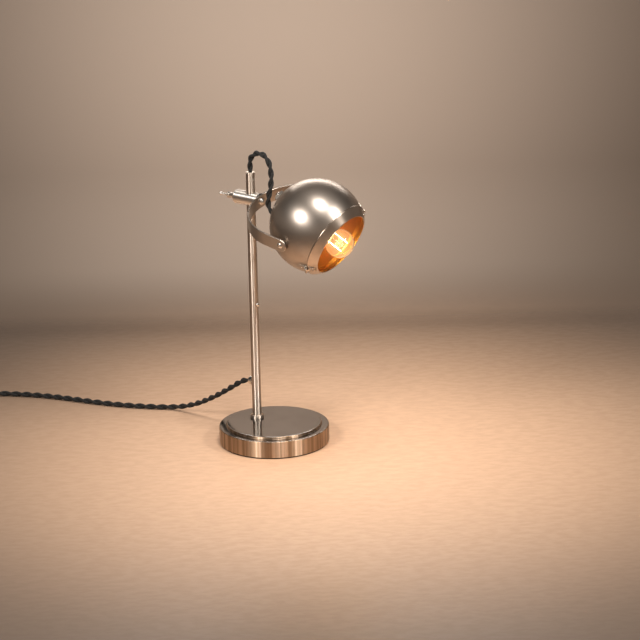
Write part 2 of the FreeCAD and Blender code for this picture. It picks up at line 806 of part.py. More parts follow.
def make_pivot_screws():
    """Domed, slotted screws through the strap's ends into the nuts inside the ball."""
    start = ball_radius - ball_wall - pivot_nut_height - pivot_screw_end
    seat = strap_outer + face_gap
    screws = []
    for side in (-1, 1):
        shank = rod(pivot_screw_diameter, seat - start + overlap, UP * start)
        head = dome(pivot_head_diameter, pivot_head_height, seat)
        slot_center = UP * (seat + pivot_head_height)
        slot = block(pivot_slot_width, pivot_head_diameter, 2 * pivot_slot_depth, slot_center)
        screw = shank.fuse(head).removeSplitter().cut(slot)
        screws.append(put(screw, BALL.multiply(side_axis(side))))
    return Part.makeCompound(screws)


def make_pivot_spacers():
    """Turned spacers between the ball and the strap, hollowed to sit on the ball."""
    outer_face = strap_inner - face_gap
    inner_start = ball_radius - pivot_spacer_diameter / 2
    spacers = []
    for side in (-1, 1):
        length = outer_face - inner_start
        blank = tube(pivot_spacer_diameter, pivot_screw_diameter, length, UP * inner_start)
        placed = put(blank, side_axis(side)).cut(full_ball())
        spacers.append(put(placed, BALL))
    return Part.makeCompound(spacers)


def make_pivot_nuts():
    """Nuts inside the ball, rounded on the face that lies against it."""
    inner_ball = Part.makeSphere(ball_radius - ball_wall)
    nuts = []
    for side in (-1, 1):
        bottom = ball_radius - ball_wall - pivot_nut_height
        nut = hex_prism(pivot_nut_across_flats, pivot_nut_height + overrun, bottom)
        nut = nut.cut(rod(pivot_screw_diameter, pivot_nut_height + overrun, UP * bottom))
        nuts.append(put(put(nut, side_axis(side)).common(inner_ball), BALL))
    return Part.makeCompound(nuts)


def make_bezel_ring():
    """Spun front ring: short land, conical band, rolled lip, spigot inside the ball."""
    ball_bore = math.sqrt((ball_radius - ball_wall) ** 2 - seam_place ** 2)
    spigot_outer = ball_bore - bezel_spigot_play
    spigot_inner = spigot_outer - bezel_spigot_wall
    lip_radius = bezel_front_radius - bezel_lip
    rear = bezel_rear
    ring = turned([
        (spigot_inner, rear - bezel_spigot_depth, 0),
        (spigot_outer, rear - bezel_spigot_depth, 0),
        (spigot_outer, rear, 0),
        (bezel_rear_radius - bezel_edge, rear, 0),
        (bezel_rear_radius, rear + bezel_edge, 0),
        (bezel_rear_radius, band_rear, bezel_land_round),
        (band_radius(band_front), band_front, bezel_nose_round),
        (bezel_front_radius - bezel_nose_round, bezel_front, bezel_nose_round),
        (lip_radius, bezel_front - bezel_lip_fall, inner_round),
        (lip_radius, bezel_front - bezel_lip_depth, 0),
        (spigot_inner, band_rear, inner_round),
    ])
    return put(ring, BALL)


# ---- Bulb and holder -----------------------------------------------------------------
def globe_profile(shrink):
    """Half section of the globe with its neck, smaller all round by a wall."""
    radius = globe_radius - shrink
    neck = neck_radius - shrink
    rear = cap_front
    blend = neck_fillet + shrink
    reach = radius + blend
    drop = math.sqrt(reach ** 2 - (neck + blend) ** 2)
    blend_place = globe_place - drop
    share = radius / reach
    touch = V((neck + blend) * share, 0, globe_place - drop * share)
    waist_angle = math.pi - math.asin(drop / reach) / 2
    waist = V(neck + blend, 0, blend_place) + V(math.cos(waist_angle), 0, math.sin(waist_angle)) * blend
    side = V(radius, 0, globe_place)
    front = V(0, 0, globe_place + radius)
    neck_end = V(neck, 0, blend_place)
    edges = [
        Part.LineSegment(V(0, 0, rear), V(neck, 0, rear)).toShape(),
        Part.LineSegment(V(neck, 0, rear), neck_end).toShape(),
        Part.Arc(neck_end, waist, touch).toShape(),
        Part.Arc(touch, side, front).toShape(),
        Part.LineSegment(front, V(0, 0, rear)).toShape(),
    ]
    return Part.Face(Part.Wire(edges)).revolve(V(0, 0, 0), UP, 360)


def make_bulb_globe():
    return put(globe_profile(0).cut(globe_profile(globe_wall)), BALL)


def make_bulb_cap():
    """Brass cap of the bulb with its shoulder and centre contact."""
    return put(turned([
        (0, contact_rear, 0),
        (contact_radius, contact_rear, cap_round),
        (cap_rear_radius, cap_rear, cap_round),
        (cap_radius - cap_step, cap_rear, cap_round),
        (cap_radius, cap_rear + cap_shoulder, cap_round),
        (cap_radius, cap_front - cap_rim - cap_step, cap_round),
        (neck_radius, cap_front - cap_rim, cap_round),
        (neck_radius, cap_front, 0),
        (0, cap_front, 0),
    ]), BALL)


def make_filament_mount():
    """Glass stem, support wires and two straight filaments in line with the beam."""
    half = mount_diameter / 2
    mount = turned([
        (0, cap_front, 0),
        (half, cap_front, 0),
        (half, mount_front - mount_pinch_length, mount_round),
        (half - mount_pinch, mount_front, mount_round),
        (0, mount_front, 0),
    ])
    filament_front = filament_rear + filament_length
    post_length = filament_front + post_reach - mount_front + overlap
    mount = mount.fuse(rod(support_diameter, post_length, UP * (mount_front - overlap)))
    for side in (-1, 1):
        offset = V(side * filament_spread, 0, 0)
        filament = rod(filament_diameter, filament_length, offset + UP * filament_rear)
        mount = mount.fuse(filament)
        for height in (filament_rear, filament_front):
            arm_start = UP * (height - math.copysign(support_diameter / 4, height - globe_place))
            mount = mount.fuse(rod(support_diameter, filament_spread, arm_start, V(side, 0, 0)))
    turn = FreeCAD.Placement(V(0, 0, 0), FreeCAD.Rotation(UP, filament_turn))
    return put(put(mount.removeSplitter(), turn), BALL)


def make_lampholder():
    """Moulded cup that takes the cap of the bulb."""
    bore = cap_radius + cap_play
    return put(turned([
        (nipple_diameter / 2, holder_rear, 0),
        (holder_radius - holder_bevel, holder_rear, holder_round),
        (holder_radius, holder_rear + holder_bevel_length, holder_round),
        (holder_radius, holder_front - holder_lip, holder_round),
        (holder_radius - holder_wall, holder_front, holder_round),
        (bore, holder_front, inner_round),
        (bore, contact_rear, 0),
        (nipple_diameter / 2, contact_rear, 0),
    ]), BALL)


def make_holder_spacer():
    """Tube that holds the lampholder off the inside of the ball."""
    start = holder_rear - ball_radius
    spacer = tube(2 * holder_spacer_radius, nipple_diameter, ball_radius, UP * start)
    return put(spacer.common(Part.makeSphere(ball_radius - ball_wall)), BALL)


def make_holder_nipple():
    """Threaded tube through the rear of the ball that carries the lampholder."""
    rear = pole_nut_rear + pole_nut_floor
    length = holder_rear + nipple_grip - rear
    return put(tube(nipple_diameter, nipple_bore, length, UP * rear), BALL)


def make_pole_washer():
    """Dished washer under the cap nut at the rear of the ball."""
    front = pole_seat + pole_washer_radius / 2
    washer = turned([
        (nipple_diameter / 2, pole_seat, 0),
        (pole_washer_radius, pole_seat, pole_washer_round),
        (pole_washer_radius, front, 0),
        (nipple_diameter / 2, front, 0),
    ])
    return put(washer.cut(full_ball()), BALL)


def make_pole_nut():
    """Domed cap nut at the rear of the ball."""
    nut = hex_prism(pole_nut_across_flats, pole_nut_height, pole_nut_rear)
    crown_place = pole_nut_rear + pole_dome_rise
    crown = Part.makeSphere(pole_dome_radius, UP * crown_place)
    ahead = block(cut_block, cut_block, cut_block, UP * (crown_place + cut_block / 2))
    nut = nut.fuse(crown.cut(ahead)).removeSplitter()
    socket_start = pole_nut_rear + pole_nut_floor
    return put(nut.cut(rod(nipple_diameter, pole_nut_height, UP * socket_start)), BALL)


def gland_frame():
    """Axes at the centre of the ball, local Z out through the gland."""
    turn = FreeCAD.Rotation(V(1, 0, 0), gland_angle - 180)
    return FreeCAD.Placement(V(0, 0, 0), turn)


def make_cord_gland():
    """Rounded gland on the ball with a spigot through the wall and a nut inside."""
    bore = cord_diameter / 2
    outer_radius = gland_diameter / 2
    blank_start = ball_radius - outer_radius
    outer = turned([
        (bore, blank_start, 0),
        (outer_radius, blank_start, 0),
        (outer_radius, ball_radius + gland_collar, inner_round),
        (outer_radius - gland_taper, gland_mouth_reach, gland_taper),
        (bore, gland_mouth_reach, 0),
    ])
    outer = put(outer, gland_frame()).cut(full_ball())
    spigot_start = ball_radius - gland_spigot_depth
    spigot_length = gland_spigot_depth + gland_collar
    spigot = tube(gland_spigot, cord_diameter, spigot_length, UP * spigot_start)
    gland = outer.fuse(put(spigot, gland_frame())).removeSplitter()
    return put(gland, BALL)


def make_gland_nut():
    """Ring nut that holds the gland from inside."""
    start = ball_radius - ball_wall - gland_nut_thickness - overrun
    ring = tube(gland_nut_diameter, gland_spigot, gland_nut_thickness + 2 * overrun, UP * start)
    placed = put(ring, gland_frame()).common(Part.makeSphere(ball_radius - ball_wall))
    return put(placed, BALL)


def make_head_lead():
    """The cord inside the ball, from the gland to the side of the lampholder."""
    start = gland_direction() * gland_mouth_reach
    inner_end = gland_direction() * (ball_radius - lead_straight)
    side_entry = V(0, holder_radius - holder_bevel, holder_rear + lead_entry_place)
    turning = V(0, inner_end.y * lead_turn_share, (inner_end.z + side_entry.z) / 2)
    lead = cord_tube("head_lead", [start, inner_end, turning, side_entry], lead_diameter)
    cup = rod(2 * holder_radius, holder_front - holder_rear, UP * holder_rear)
    return put(lead.cut(cup), BALL)


# ---- Bezel hinge and catch, in axes at a place on the seam ----------------------------
def seam_frame(angle):
    """Axes with local X outwards at an angle round the seam, local Z ahead."""
    return FreeCAD.Placement(V(0, 0, 0), FreeCAD.Rotation(UP, 90 - angle))


def ball_skin(thickness):
    """A layer lying on the outside of the ball."""
    return Part.makeSphere(ball_radius + thickness).cut(full_ball())


def band_radius(place):
    """Radius of the conical band of the bezel at a distance ahead of the ball's centre."""
    return bezel_rear_radius - band_slope * (place - band_rear)


def band_skin(thickness):
    """A layer lying on the conical band of the bezel."""
    start = band_rear + leaf_start_ahead
    end = band_front - leaf_end_behind
    return turned([
        (band_radius(start), start, 0),
        (band_radius(start) + thickness, start, leaf_edge_round),
        (band_radius(end) + thickness, end, leaf_edge_round),
        (band_radius(end), end, 0),
    ])


def solid_bezel():
    """The space inside the outline of the bezel, for trimming what lies on it."""
    return turned([
        (0, bezel_rear, 0),
        (bezel_rear_radius, bezel_rear, 0),
        (bezel_rear_radius, band_rear, 0),
        (band_radius(band_front), band_front, 0),
        (0, band_front, 0),
    ])


def seam_relief():
    """The space round the bezel's rear edge that the ball's hinge links stay out of."""
    clear = bezel_rear_radius + hinge_axis_clear
    return rod(2 * clear, cut_block, UP * (seam_place - seam_gap))


def band_frame(place):
    """Axes standing on the band at a place, local Z square to its surface."""
    lean = 90 - math.degrees(math.atan(band_slope))
    return FreeCAD.Placement(V(band_radius(place), 0, place), FreeCAD.Rotation(V(0, 1, 0), lean))


def knuckle(start, length):
    """A stretch of the hinge's barrel, bored for the pin."""
    axis_start = V(hinge_radius, start, hinge_place)
    return tube(hinge_knuckle_diameter, hinge_pin_diameter, length, axis_start, V(0, 1, 0))


def make_hinge_leaf_ball():
    """Leaf riveted to the ball, with the two outer knuckles."""
    reach_start = seam_place - hinge_leaf_gap - hinge_leaf_reach
    window_center = V(leaf_window, 0, reach_start + hinge_leaf_reach / 2)
    window = block(2 * leaf_window, hinge_leaf_width, hinge_leaf_reach, window_center)
    leaf = ball_skin(hinge_leaf_thickness).common(window)
    outer_length = (hinge_leaf_width - middle_knuckle_length) / 2 - hinge_knuckle_gap
    link_bottom = seam_place - hinge_link_reach
    link_height = hinge_place - link_bottom
    link_inner = ball_radius / 2
    link_outer = bezel_rear_radius + hinge_axis_clear + hinge_link_thickness
    link_depth = link_outer - link_inner
    pin_start = V(hinge_radius, -hinge_leaf_width, hinge_place)
    pin_hole = rod(hinge_pin_diameter, 2 * hinge_leaf_width, pin_start, V(0, 1, 0))
    for start in (-hinge_leaf_width / 2, hinge_leaf_width / 2 - outer_length):
        link_center = V(link_inner + link_depth / 2, start + outer_length / 2, link_bottom + link_height / 2)
        link = block(link_depth, outer_length, link_height, link_center)
        link = link.cut(full_ball()).cut(seam_relief())
        leaf = leaf.fuse(link).fuse(knuckle(start, outer_length))
    return put(leaf.removeSplitter().cut(pin_hole), BALL.multiply(seam_frame(hinge_angle)))


def make_hinge_leaf_bezel():
    """Leaf riveted to the bezel, with the middle knuckle."""
    window = block(2 * leaf_window, hinge_leaf_width, 2 * leaf_window, V(leaf_window, 0, seam_place))
    leaf = band_skin(hinge_leaf_thickness).common(window)
    length = middle_knuckle_length
    link_end = band_rear + 2 * leaf_start_ahead
    link = Part.Face(Part.makePolygon([
        V(hinge_radius, -length / 2, hinge_place),
        V(hinge_radius + link_crest, -length / 2, hinge_place + link_crest_ahead),
        V(band_radius(link_end) + hinge_leaf_thickness, -length / 2, link_end),
        V(band_radius(link_end) - link_root, -length / 2, link_end),
        V(bezel_rear_radius - link_root, -length / 2, hinge_place),
        V(hinge_radius, -length / 2, hinge_place),
    ])).extrude(V(0, length, 0))
    bore_start = V(hinge_radius, -length / 2, hinge_place)
    bore = rod(hinge_pin_diameter + 2 * running_fit, length, bore_start, V(0, 1, 0))
    link = link.cut(solid_bezel())
    leaf = leaf.fuse(link).fuse(knuckle(-length / 2, length)).removeSplitter().cut(bore)
    return put(leaf, BALL.multiply(seam_frame(hinge_angle)))


def make_hinge_pin():
    length = hinge_leaf_width + 2 * hinge_pin_proud
    pin = rod(hinge_pin_diameter, length, V(hinge_radius, -length / 2, hinge_place), V(0, 1, 0))
    return put(pin, BALL.multiply(seam_frame(hinge_angle)))


def ball_rivet(offset, height_place):
    """A domed rivet standing on a leaf that lies on the ball."""
    skin = ball_radius + hinge_leaf_thickness
    radial = math.sqrt(skin ** 2 - height_place ** 2 - offset ** 2)
    direction = V(radial, offset, height_place)
    turn = FreeCAD.Rotation(UP, direction)
    head = dome(rivet_diameter, rivet_height, skin - rivet_sink)
    return put(head, FreeCAD.Placement(V(0, 0, 0), turn))


def make_hinge_rivets_ball():
    place = seam_place - hinge_leaf_reach / 2 - rivet_set_back
    rivets = [ball_rivet(side * rivet_spacing / 2, place) for side in (-1, 1)]
    skin = Part.makeSphere(ball_radius + hinge_leaf_thickness)
    seated = [rivet.cut(skin) for rivet in rivets]
    return put(Part.makeCompound(seated), BALL.multiply(seam_frame(hinge_angle)))


def make_hinge_rivets_bezel():
    """Domed rivets that stand on the bezel's leaf."""
    place = (band_rear + leaf_start_ahead + band_front - leaf_end_behind) / 2 + rivet_set_back
    skin = band_skin(hinge_leaf_thickness)
    rivets = []
    for side in (-1, 1):
        around = math.degrees(math.asin(side * rivet_spacing / 2 / band_radius(place)))
        head = dome(rivet_diameter, hinge_leaf_thickness + rivet_height, 0)
        head = put(head, band_frame(place))
        head = put(head, FreeCAD.Placement(V(0, 0, 0), FreeCAD.Rotation(UP, around)))
        rivets.append(head.cut(skin).cut(solid_bezel()))
    return put(Part.makeCompound(rivets), BALL.multiply(seam_frame(hinge_angle)))


def make_catch_spring():
    """Spring tongue riveted to the ball that reaches over the edge of the bezel."""
    window_center = V(leaf_window, 0, seam_place - catch_foot_gap - catch_reach_behind / 2)
    window = block(2 * leaf_window, catch_width, catch_reach_behind, window_center)
    foot = ball_skin(catch_thickness).common(window)
    tongue_start = seam_place - catch_foot_gap - catch_tongue_root
    tongue_length = seam_place + catch_reach_ahead - tongue_start
    tongue_center = V(
        bezel_rear_radius + seam_gap + catch_thickness / 2, 0, tongue_start + tongue_length / 2
    )
    tongue = block(catch_thickness, catch_width, tongue_length, tongue_center).cut(full_ball())
    return put(foot.fuse(tongue).removeSplitter(), BALL.multiply(seam_frame(catch_angle)))


def make_catch_rivet():
    place = seam_place - catch_foot_gap - catch_reach_behind / 2 - catch_rivet_back
    rivet = ball_rivet(0, place).cut(Part.makeSphere(ball_radius + hinge_leaf_thickness))
    return put(rivet, BALL.multiply(seam_frame(catch_angle)))


def make_catch_stud():
    """Finger stud on the bezel, just ahead of the spring tongue."""
    stud = dome(catch_stud_diameter, catch_stud_height + overlap, -overlap)
    stud = put(stud, band_frame(catch_stud_place))
    return put(stud.cut(solid_bezel()), BALL.multiply(seam_frame(catch_angle)))


# ---- Cords ---------------------------------------------------------------------------
def gland_mouth():
    return BALL.multVec(gland_direction() * gland_mouth_reach)


def make_jumper_cord():
    """Twisted pair from the top of the stem over a loop and into the ball."""
    outward = head_turn.multVec(gland_direction())
    ending = [gland_mouth() + outward * jumper_lead_in, gland_mouth()]
    return cord_tube("jumper_cord", JUMPER_POINTS + ending)


def switch_start():
    return MAINS_POINTS[-1]


def switch_frame():
    """Axes at the middle of the switch: local X along the cord, Z up."""
    heading = math.degrees(math.atan2(switch_heading.y, switch_heading.x))
    middle = switch_start() + switch_heading * switch_length / 2
    return FreeCAD.Placement(V(middle.x, middle.y, 0), FreeCAD.Rotation(UP, heading))


def coil_center():
    """The coil lies beside the end of the switch, its outer turn in line with the cord."""
    outer_turn = coil_middle_radius + coil_turn_pitch * (coil_columns - 1) / 2
    across = V(switch_heading.y, -switch_heading.x, 0)
    entry = switch_start() + switch_heading * (switch_length + coil_approach)
    center = entry + across * outer_turn
    return V(center.x, center.y, 0)


def make_mains_cord():
    return cord_tube("mains_cord", MAINS_POINTS)


def make_cord_coil():
    """Outer shape of the neat coil of the stored length."""
    half_width = coil_columns * coil_turn_pitch / 2
    height = coil_height
    bottom = coil_rest_height
    coil = turned([
        (coil_middle_radius - half_width, bottom, coil_edge_round),
        (coil_middle_radius + half_width, bottom, coil_edge_round),
        (coil_middle_radius + half_width, bottom + height, coil_edge_round),
        (coil_middle_radius - half_width, bottom + height, coil_edge_round),
    ])
    return put(coil, FreeCAD.Placement(coil_center(), FreeCAD.Rotation()))


def make_coil_tie():
    """Band round the bundle of turns."""
    width = coil_columns * coil_turn_pitch + 2 * tie_thickness
    height = coil_height + 2 * tie_thickness
    middle = coil_rest_height + coil_height / 2
    outward = FreeCAD.Placement(coil_center(), FreeCAD.Rotation(UP, tie_angle))
    band = block(width, tie_width, height, V(coil_middle_radius, 0, middle))
    band = band.makeFillet(coil_edge_round, [edge for edge in band.Edges if along_y(edge)])
    return put(band, outward).cut(make_cord_coil())


def along_y(edge):
    """Whether a straight edge runs along local Y."""
    start = edge.Vertexes[0].Point
    end = edge.Vertexes[-1].Point
    return abs(start.x - end.x) < 1e-6 and abs(start.z - end.z) < 1e-6


def make_coil_lead_in():
    """Short stretch from the switch into the outer turn of the coil."""
    start = switch_start() + switch_heading * switch_length
    middle = start + switch_heading * coil_lead_turn
    entry = start + switch_heading * coil_lead_end
    entry.z = coil_rest_height + cord_diameter / 2
    return cord_tube("coil_lead_in", [start, middle, entry]).cut(make_cord_coil())


def plug_frame():
    """Axes at the rear of the plug inside the coil, local X towards the blades."""
    return FreeCAD.Placement(coil_center() + plug_rear_place, FreeCAD.Rotation(UP, plug_turn))


def make_coil_lead_out():
    """Short stretch from the inner turn of the coil to the plug."""
    frame = plug_frame()
    exit_point = frame.multVec(V(0, 0, plug_height / 2))
    level = coil_center() + UP * (coil_rest_height + cord_diameter / 2)
    points = [level + point for point in COIL_EXIT_POINTS]
    points += [exit_point + frame.Rotation.multVec(plug_approach), exit_point]
    return cord_tube("coil_lead_out", points).cut(make_cord_coil()).cut(make_plug_body())


def make_switch_shell(upper):
    """One half of the rounded in-line switch, parted at the height of the cord."""
    body = block(switch_length, switch_width, switch_height, UP * switch_height / 2)
    body = body.makeFillet(switch_edge_round, body.Edges)
    split = switch_start().z
    keep_center = split + switch_height / 2 if upper else split - switch_height / 2
    half = body.common(block(2 * switch_length, 2 * switch_width, switch_height, UP * keep_center))
    cavity_length = switch_length - 2 * switch_end_wall
    cavity_width = switch_width - 2 * switch_side_wall
    cavity = block(cavity_length, cavity_width, 2 * (split - switch_side_wall), UP * split)
    half = half.cut(cavity)
    if upper:
        half = half.cut(rocker_window())
        half = half.cut(rocker_axle(running_fit))
    bore_start = V(-switch_length, 0, split)
    bore = rod(cord_diameter - 2 * switch_cord_grip, 2 * switch_length, bore_start, V(1, 0, 0))
    return put(half.cut(bore), switch_frame())


def rocker_window():
    size = V(rocker_length + 2 * rocker_play, rocker_width + 2 * rocker_play, switch_height)
    return block(size.x, size.y, size.z, UP * switch_height)


def rocker_axle(extra):
    length = rocker_width + 2 * rocker_axle_grip
    start = V(0, -length / 2, rocker_axle_height())
    return rod(rocker_axle_diameter + 2 * extra, length, start, V(0, 1, 0))


def rocker_axle_height():
    return switch_height - rocker_axle_depth


def make_switch_rocker():
    """Rocker with a hollowed top and its axle, tipped to one side."""
    axle_height = rocker_axle_height()
    half_length = rocker_length / 2
    foot_half = half_length - rocker_taper
    foot = axle_height - rocker_depth
    top = switch_height + rocker_proud
    side = -rocker_width / 2
    body = Part.Face(Part.makePolygon([
        V(-half_length, side, top),
        V(-foot_half, side, foot),
        V(foot_half, side, foot),
        V(half_length, side, top),
        V(-half_length, side, top),
    ])).extrude(V(0, rocker_width, 0))
    dish_start = V(0, -rocker_width, top + rocker_dish_radius - rocker_dish_depth)
    dish = rod(2 * rocker_dish_radius, 2 * rocker_width, dish_start, V(0, 1, 0))
    swing_start = V(0, -rocker_width, axle_height)
    swing = rod(rocker_length - 2 * face_gap, 2 * rocker_width, swing_start, V(0, 1, 0))
    rocker = body.common(swing).cut(dish).fuse(rocker_axle(0)).removeSplitter()
    rocker.rotate(V(0, 0, axle_height), V(0, 1, 0), rocker_rest_angle)
    return put(rocker, switch_frame())


def make_plug_body():
    """Moulded two-blade plug with a waisted grip."""
    half = plug_width / 2
    neck = plug_neck_width / 2
    waist = plug_length * plug_waist_place
    outline = [
        V(0, -neck, 0),
        V(waist, plug_waist_inset - half, 0),
        V(plug_length, -half, 0),
        V(plug_length, half, 0),
        V(waist, half - plug_waist_inset, 0),
        V(0, neck, 0),
    ]
    rounding = [plug_grip_round, plug_waist_round, plug_face_round]
    edges = rounded_edges(outline, rounding + rounding[::-1], True)
    body = Part.Face(Part.Wire(edges)).extrude(V(0, 0, plug_height))
    body = body.makeFillet(plug_edge_round, [edge for edge in body.Edges if flat_edge(edge)])
    return put(body.cut(plug_blades()), plug_frame())


def flat_edge(edge):
    """Whether an edge lies in a level plane."""
    return edge.BoundBox.ZLength < 1e-6


def plug_blades():
    blades = []
    for side in (-1, 1):
        length = blade_length + blade_root
        center = V(plug_length - blade_root + length / 2, side * blade_spacing / 2, plug_height / 2)
        blades.append(block(length, blade_thickness, blade_width, center))
    return Part.makeCompound(blades)


def make_plug_blades():
    return put(plug_blades(), plug_frame())


# ---- Write every sub-part ------------------------------------------------------------
def main():
    os.makedirs("parts", exist_ok=True)
    makers = [
        make_felt_pad, make_base_cover, make_base_weight, make_base_stud, make_base_nut,
        make_base_washer, make_stem_tube, make_foot_collar, make_cord_bushing, make_stop_screw,
        make_stem_ferrule, make_ferrule_screw, make_stem_lead, make_friction_sleeve,
        make_clamp_block, make_clamp_shoe, make_thumb_screw, make_nose_washer, make_nose_bolt,
        make_yoke_strap, make_ball_shell, make_pivot_screws, make_pivot_spacers, make_pivot_nuts,
        make_bezel_ring, make_bulb_globe, make_bulb_cap, make_filament_mount, make_lampholder,
        make_holder_spacer, make_holder_nipple, make_pole_washer, make_pole_nut, make_cord_gland,
        make_gland_nut, make_head_lead, make_hinge_leaf_ball, make_hinge_leaf_bezel,
        make_hinge_pin, make_hinge_rivets_ball, make_hinge_rivets_bezel, make_catch_spring,
        make_catch_rivet, make_catch_stud, make_jumper_cord, make_mains_cord, make_cord_coil,
        make_coil_tie, make_coil_lead_in, make_coil_lead_out, make_switch_rocker,
        make_plug_body, make_plug_blades,
    ]
    for maker in makers:
        save(maker.__name__[len("make_"):], maker())
    save("switch_upper", make_switch_shell(True))
    save("switch_lower", make_switch_shell(False))


main()
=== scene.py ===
import json
import math

import bmesh
import bpy
from mathutils import Matrix, Quaternion, Vector


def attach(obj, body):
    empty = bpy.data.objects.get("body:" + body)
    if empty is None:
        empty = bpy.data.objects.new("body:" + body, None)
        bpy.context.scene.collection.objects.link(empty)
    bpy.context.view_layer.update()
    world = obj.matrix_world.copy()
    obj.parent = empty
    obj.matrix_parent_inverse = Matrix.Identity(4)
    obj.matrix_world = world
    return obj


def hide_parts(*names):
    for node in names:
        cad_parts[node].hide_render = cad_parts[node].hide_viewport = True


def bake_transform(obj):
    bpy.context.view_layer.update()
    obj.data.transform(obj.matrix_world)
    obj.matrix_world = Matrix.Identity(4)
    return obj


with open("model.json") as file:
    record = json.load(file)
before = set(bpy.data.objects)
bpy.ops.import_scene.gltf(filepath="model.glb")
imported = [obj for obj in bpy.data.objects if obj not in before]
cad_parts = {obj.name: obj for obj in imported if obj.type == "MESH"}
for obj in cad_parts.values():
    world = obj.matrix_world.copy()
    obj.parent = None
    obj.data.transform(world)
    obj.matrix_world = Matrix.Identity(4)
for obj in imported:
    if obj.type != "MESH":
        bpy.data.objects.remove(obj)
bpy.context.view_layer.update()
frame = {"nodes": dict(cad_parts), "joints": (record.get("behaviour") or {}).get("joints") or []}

# Looks of the tabletop searchlight lamp. Metres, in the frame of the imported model.
scene = bpy.context.scene
nodes = frame["nodes"]
joints = {joint["name"]: joint for joint in frame["joints"]}
full_turn = 2 * math.pi

# ---- Places and directions, from the joints -------------------------------------------
beam_droop = math.radians(19.5)      # of the beam below the yoke's own axis
pivot_setback = 0.0065               # of the pivots behind the centre of the ball

upright = Vector((0, 0, 1))
base_center = Vector((0, 0, 0))
stem_axis = Vector((*joints["clamp_swivel"]["pos_m"][:2], 0))
clamp_front = Vector(joints["yoke_roll"]["pos_m"])
clamp_axis = Vector(joints["yoke_roll"]["axis"])
near_side = Vector(joints["head_tilt"]["axis"])              # along the head's pivots
beam = Quaternion(near_side, -beam_droop) @ clamp_axis       # where the lamp shines
ball_center = Vector(joints["head_tilt"]["pos_m"]) + beam * pivot_setback

# ---- Camera ---------------------------------------------------------------------------
view_azimuth = math.radians(-49.91)
view_pitch = math.radians(17.11)
view_roll = math.radians(1.19)
view_distance = 3.61743
view_right = 0.06317          # of the camera from the line of sight through the origin
view_up = 0.16773
view_lens = 146.25            # millimetres
view_sensor = 36.0            # millimetres
view_reach = 50.0             # how far the camera sees


def view_axes():
    """Right, up and back directions of the camera."""
    back = Vector((
        math.sin(view_azimuth) * math.cos(view_pitch),
        -math.cos(view_azimuth) * math.cos(view_pitch),
        math.sin(view_pitch),
    ))
    level = Vector((math.cos(view_azimuth), math.sin(view_azimuth), 0.0))
    square = back.cross(level)
    right = level * math.cos(view_roll) - square * math.sin(view_roll)
    up = level * math.sin(view_roll) + square * math.cos(view_roll)
    return right, up, back


def add_camera():
    right, up, back = view_axes()
    data = bpy.data.cameras.new("photo_view")
    data.sensor_width = view_sensor
    data.lens = view_lens
    data.clip_end = view_reach
    camera = bpy.data.objects.new("photo_view", data)
    place = back * view_distance + right * view_right + up * view_up
    turn = Matrix((right, up, back)).transposed().to_4x4()
    camera.matrix_world = Matrix.Translation(place) @ turn
    scene.collection.objects.link(camera)
    scene.camera = camera


add_camera()

# ---- Cords ----------------------------------------------------------------------------
strand_diameter = 0.0040      # of each of the two strands of the twisted pair
strand_sides = 10
strand_step = 0.0014          # from one ring of a strand to the next
jumper_half_twist = 0.0147    # length in which the pair makes half a turn
mains_half_twist = 0.0165
pinch_share = 0.72            # of the strands' spread that is left where the pair is held
pinch_length = 0.012          # over which it opens to its full spread
line_order = 3                # of the splines that the routes steer
line_resolution = 12

jumper_route = [
    (0.0, 0.031, 0.380), (0.0, 0.031, 0.3875), (0.0001, 0.0316, 0.395), (0.0, 0.028, 0.4022),
    (-0.0001, 0.021, 0.4072), (0.0, 0.0122, 0.4088), (0.0001, 0.0036, 0.4058),
    (0.0, -0.0026, 0.3988), (-0.0001, -0.0056, 0.3892), (0.0, -0.0066, 0.377),
    (0.0001, -0.0048, 0.3635), (0.0003, -0.0006, 0.3508), (0.0009, 0.0016, 0.3402),
    (0.0016, -0.0004, 0.3318), (0.00318, -0.00735, 0.32642), (0.00291, -0.01534, 0.32604),
]

# The jumper crosses four joints between the base and the head, so it is four stretches,
# each beginning where the last one ends: the share of the jumper's length at its end, its
# two bodies, and the line along which it turns from one to the other.
jumper_stretches = [
    ("jumper_loop", 0.34, "base", "slider", (0, 0.0202, 0.4097), (0, 0.0052, 0.4058)),
    ("jumper_drop", 0.56, "slider", "clamp", (0, 0, 0.4015), (0, 0, 0.3785)),
    ("jumper_hang", 0.78, "clamp", "yoke", (0, 0, 0.3765), (0, 0, 0.3480)),
    ("jumper_turn", 1.0, "yoke", "head", (0, 0.001, 0.336), (0, -0.0116, 0.3261)),
]

mains_route = [
    (0.0, 0.04235, 0.081), (0.0004, 0.055, 0.0784), (0.002, 0.074, 0.0658),
    (0.005, 0.098, 0.0506), (0.0086, 0.124, 0.0354), (0.0124, 0.153, 0.0206),
    (0.0146, 0.182, 0.0092), (0.0102, 0.206, 0.0044), (-0.0016, 0.224, 0.0042),
    (-0.0114, 0.242, 0.0042), (-0.0224, 0.265, 0.0042), (-0.0336, 0.294, 0.0042),
    (-0.0429, 0.326, 0.0042), (-0.0509, 0.356, 0.0042), (-0.0598, 0.384, 0.0042),
    (-0.0706, 0.4095, 0.0042), (-0.0836, 0.434, 0.0042), (-0.0974, 0.455, 0.0043),
    (-0.110, 0.473, 0.0085), (-0.119, 0.485, 0.0085),
]
switch_route = [(-0.1364, 0.5082, 0.0085), (-0.1538, 0.5314, 0.0085), (-0.1634, 0.5442, 0.0085)]

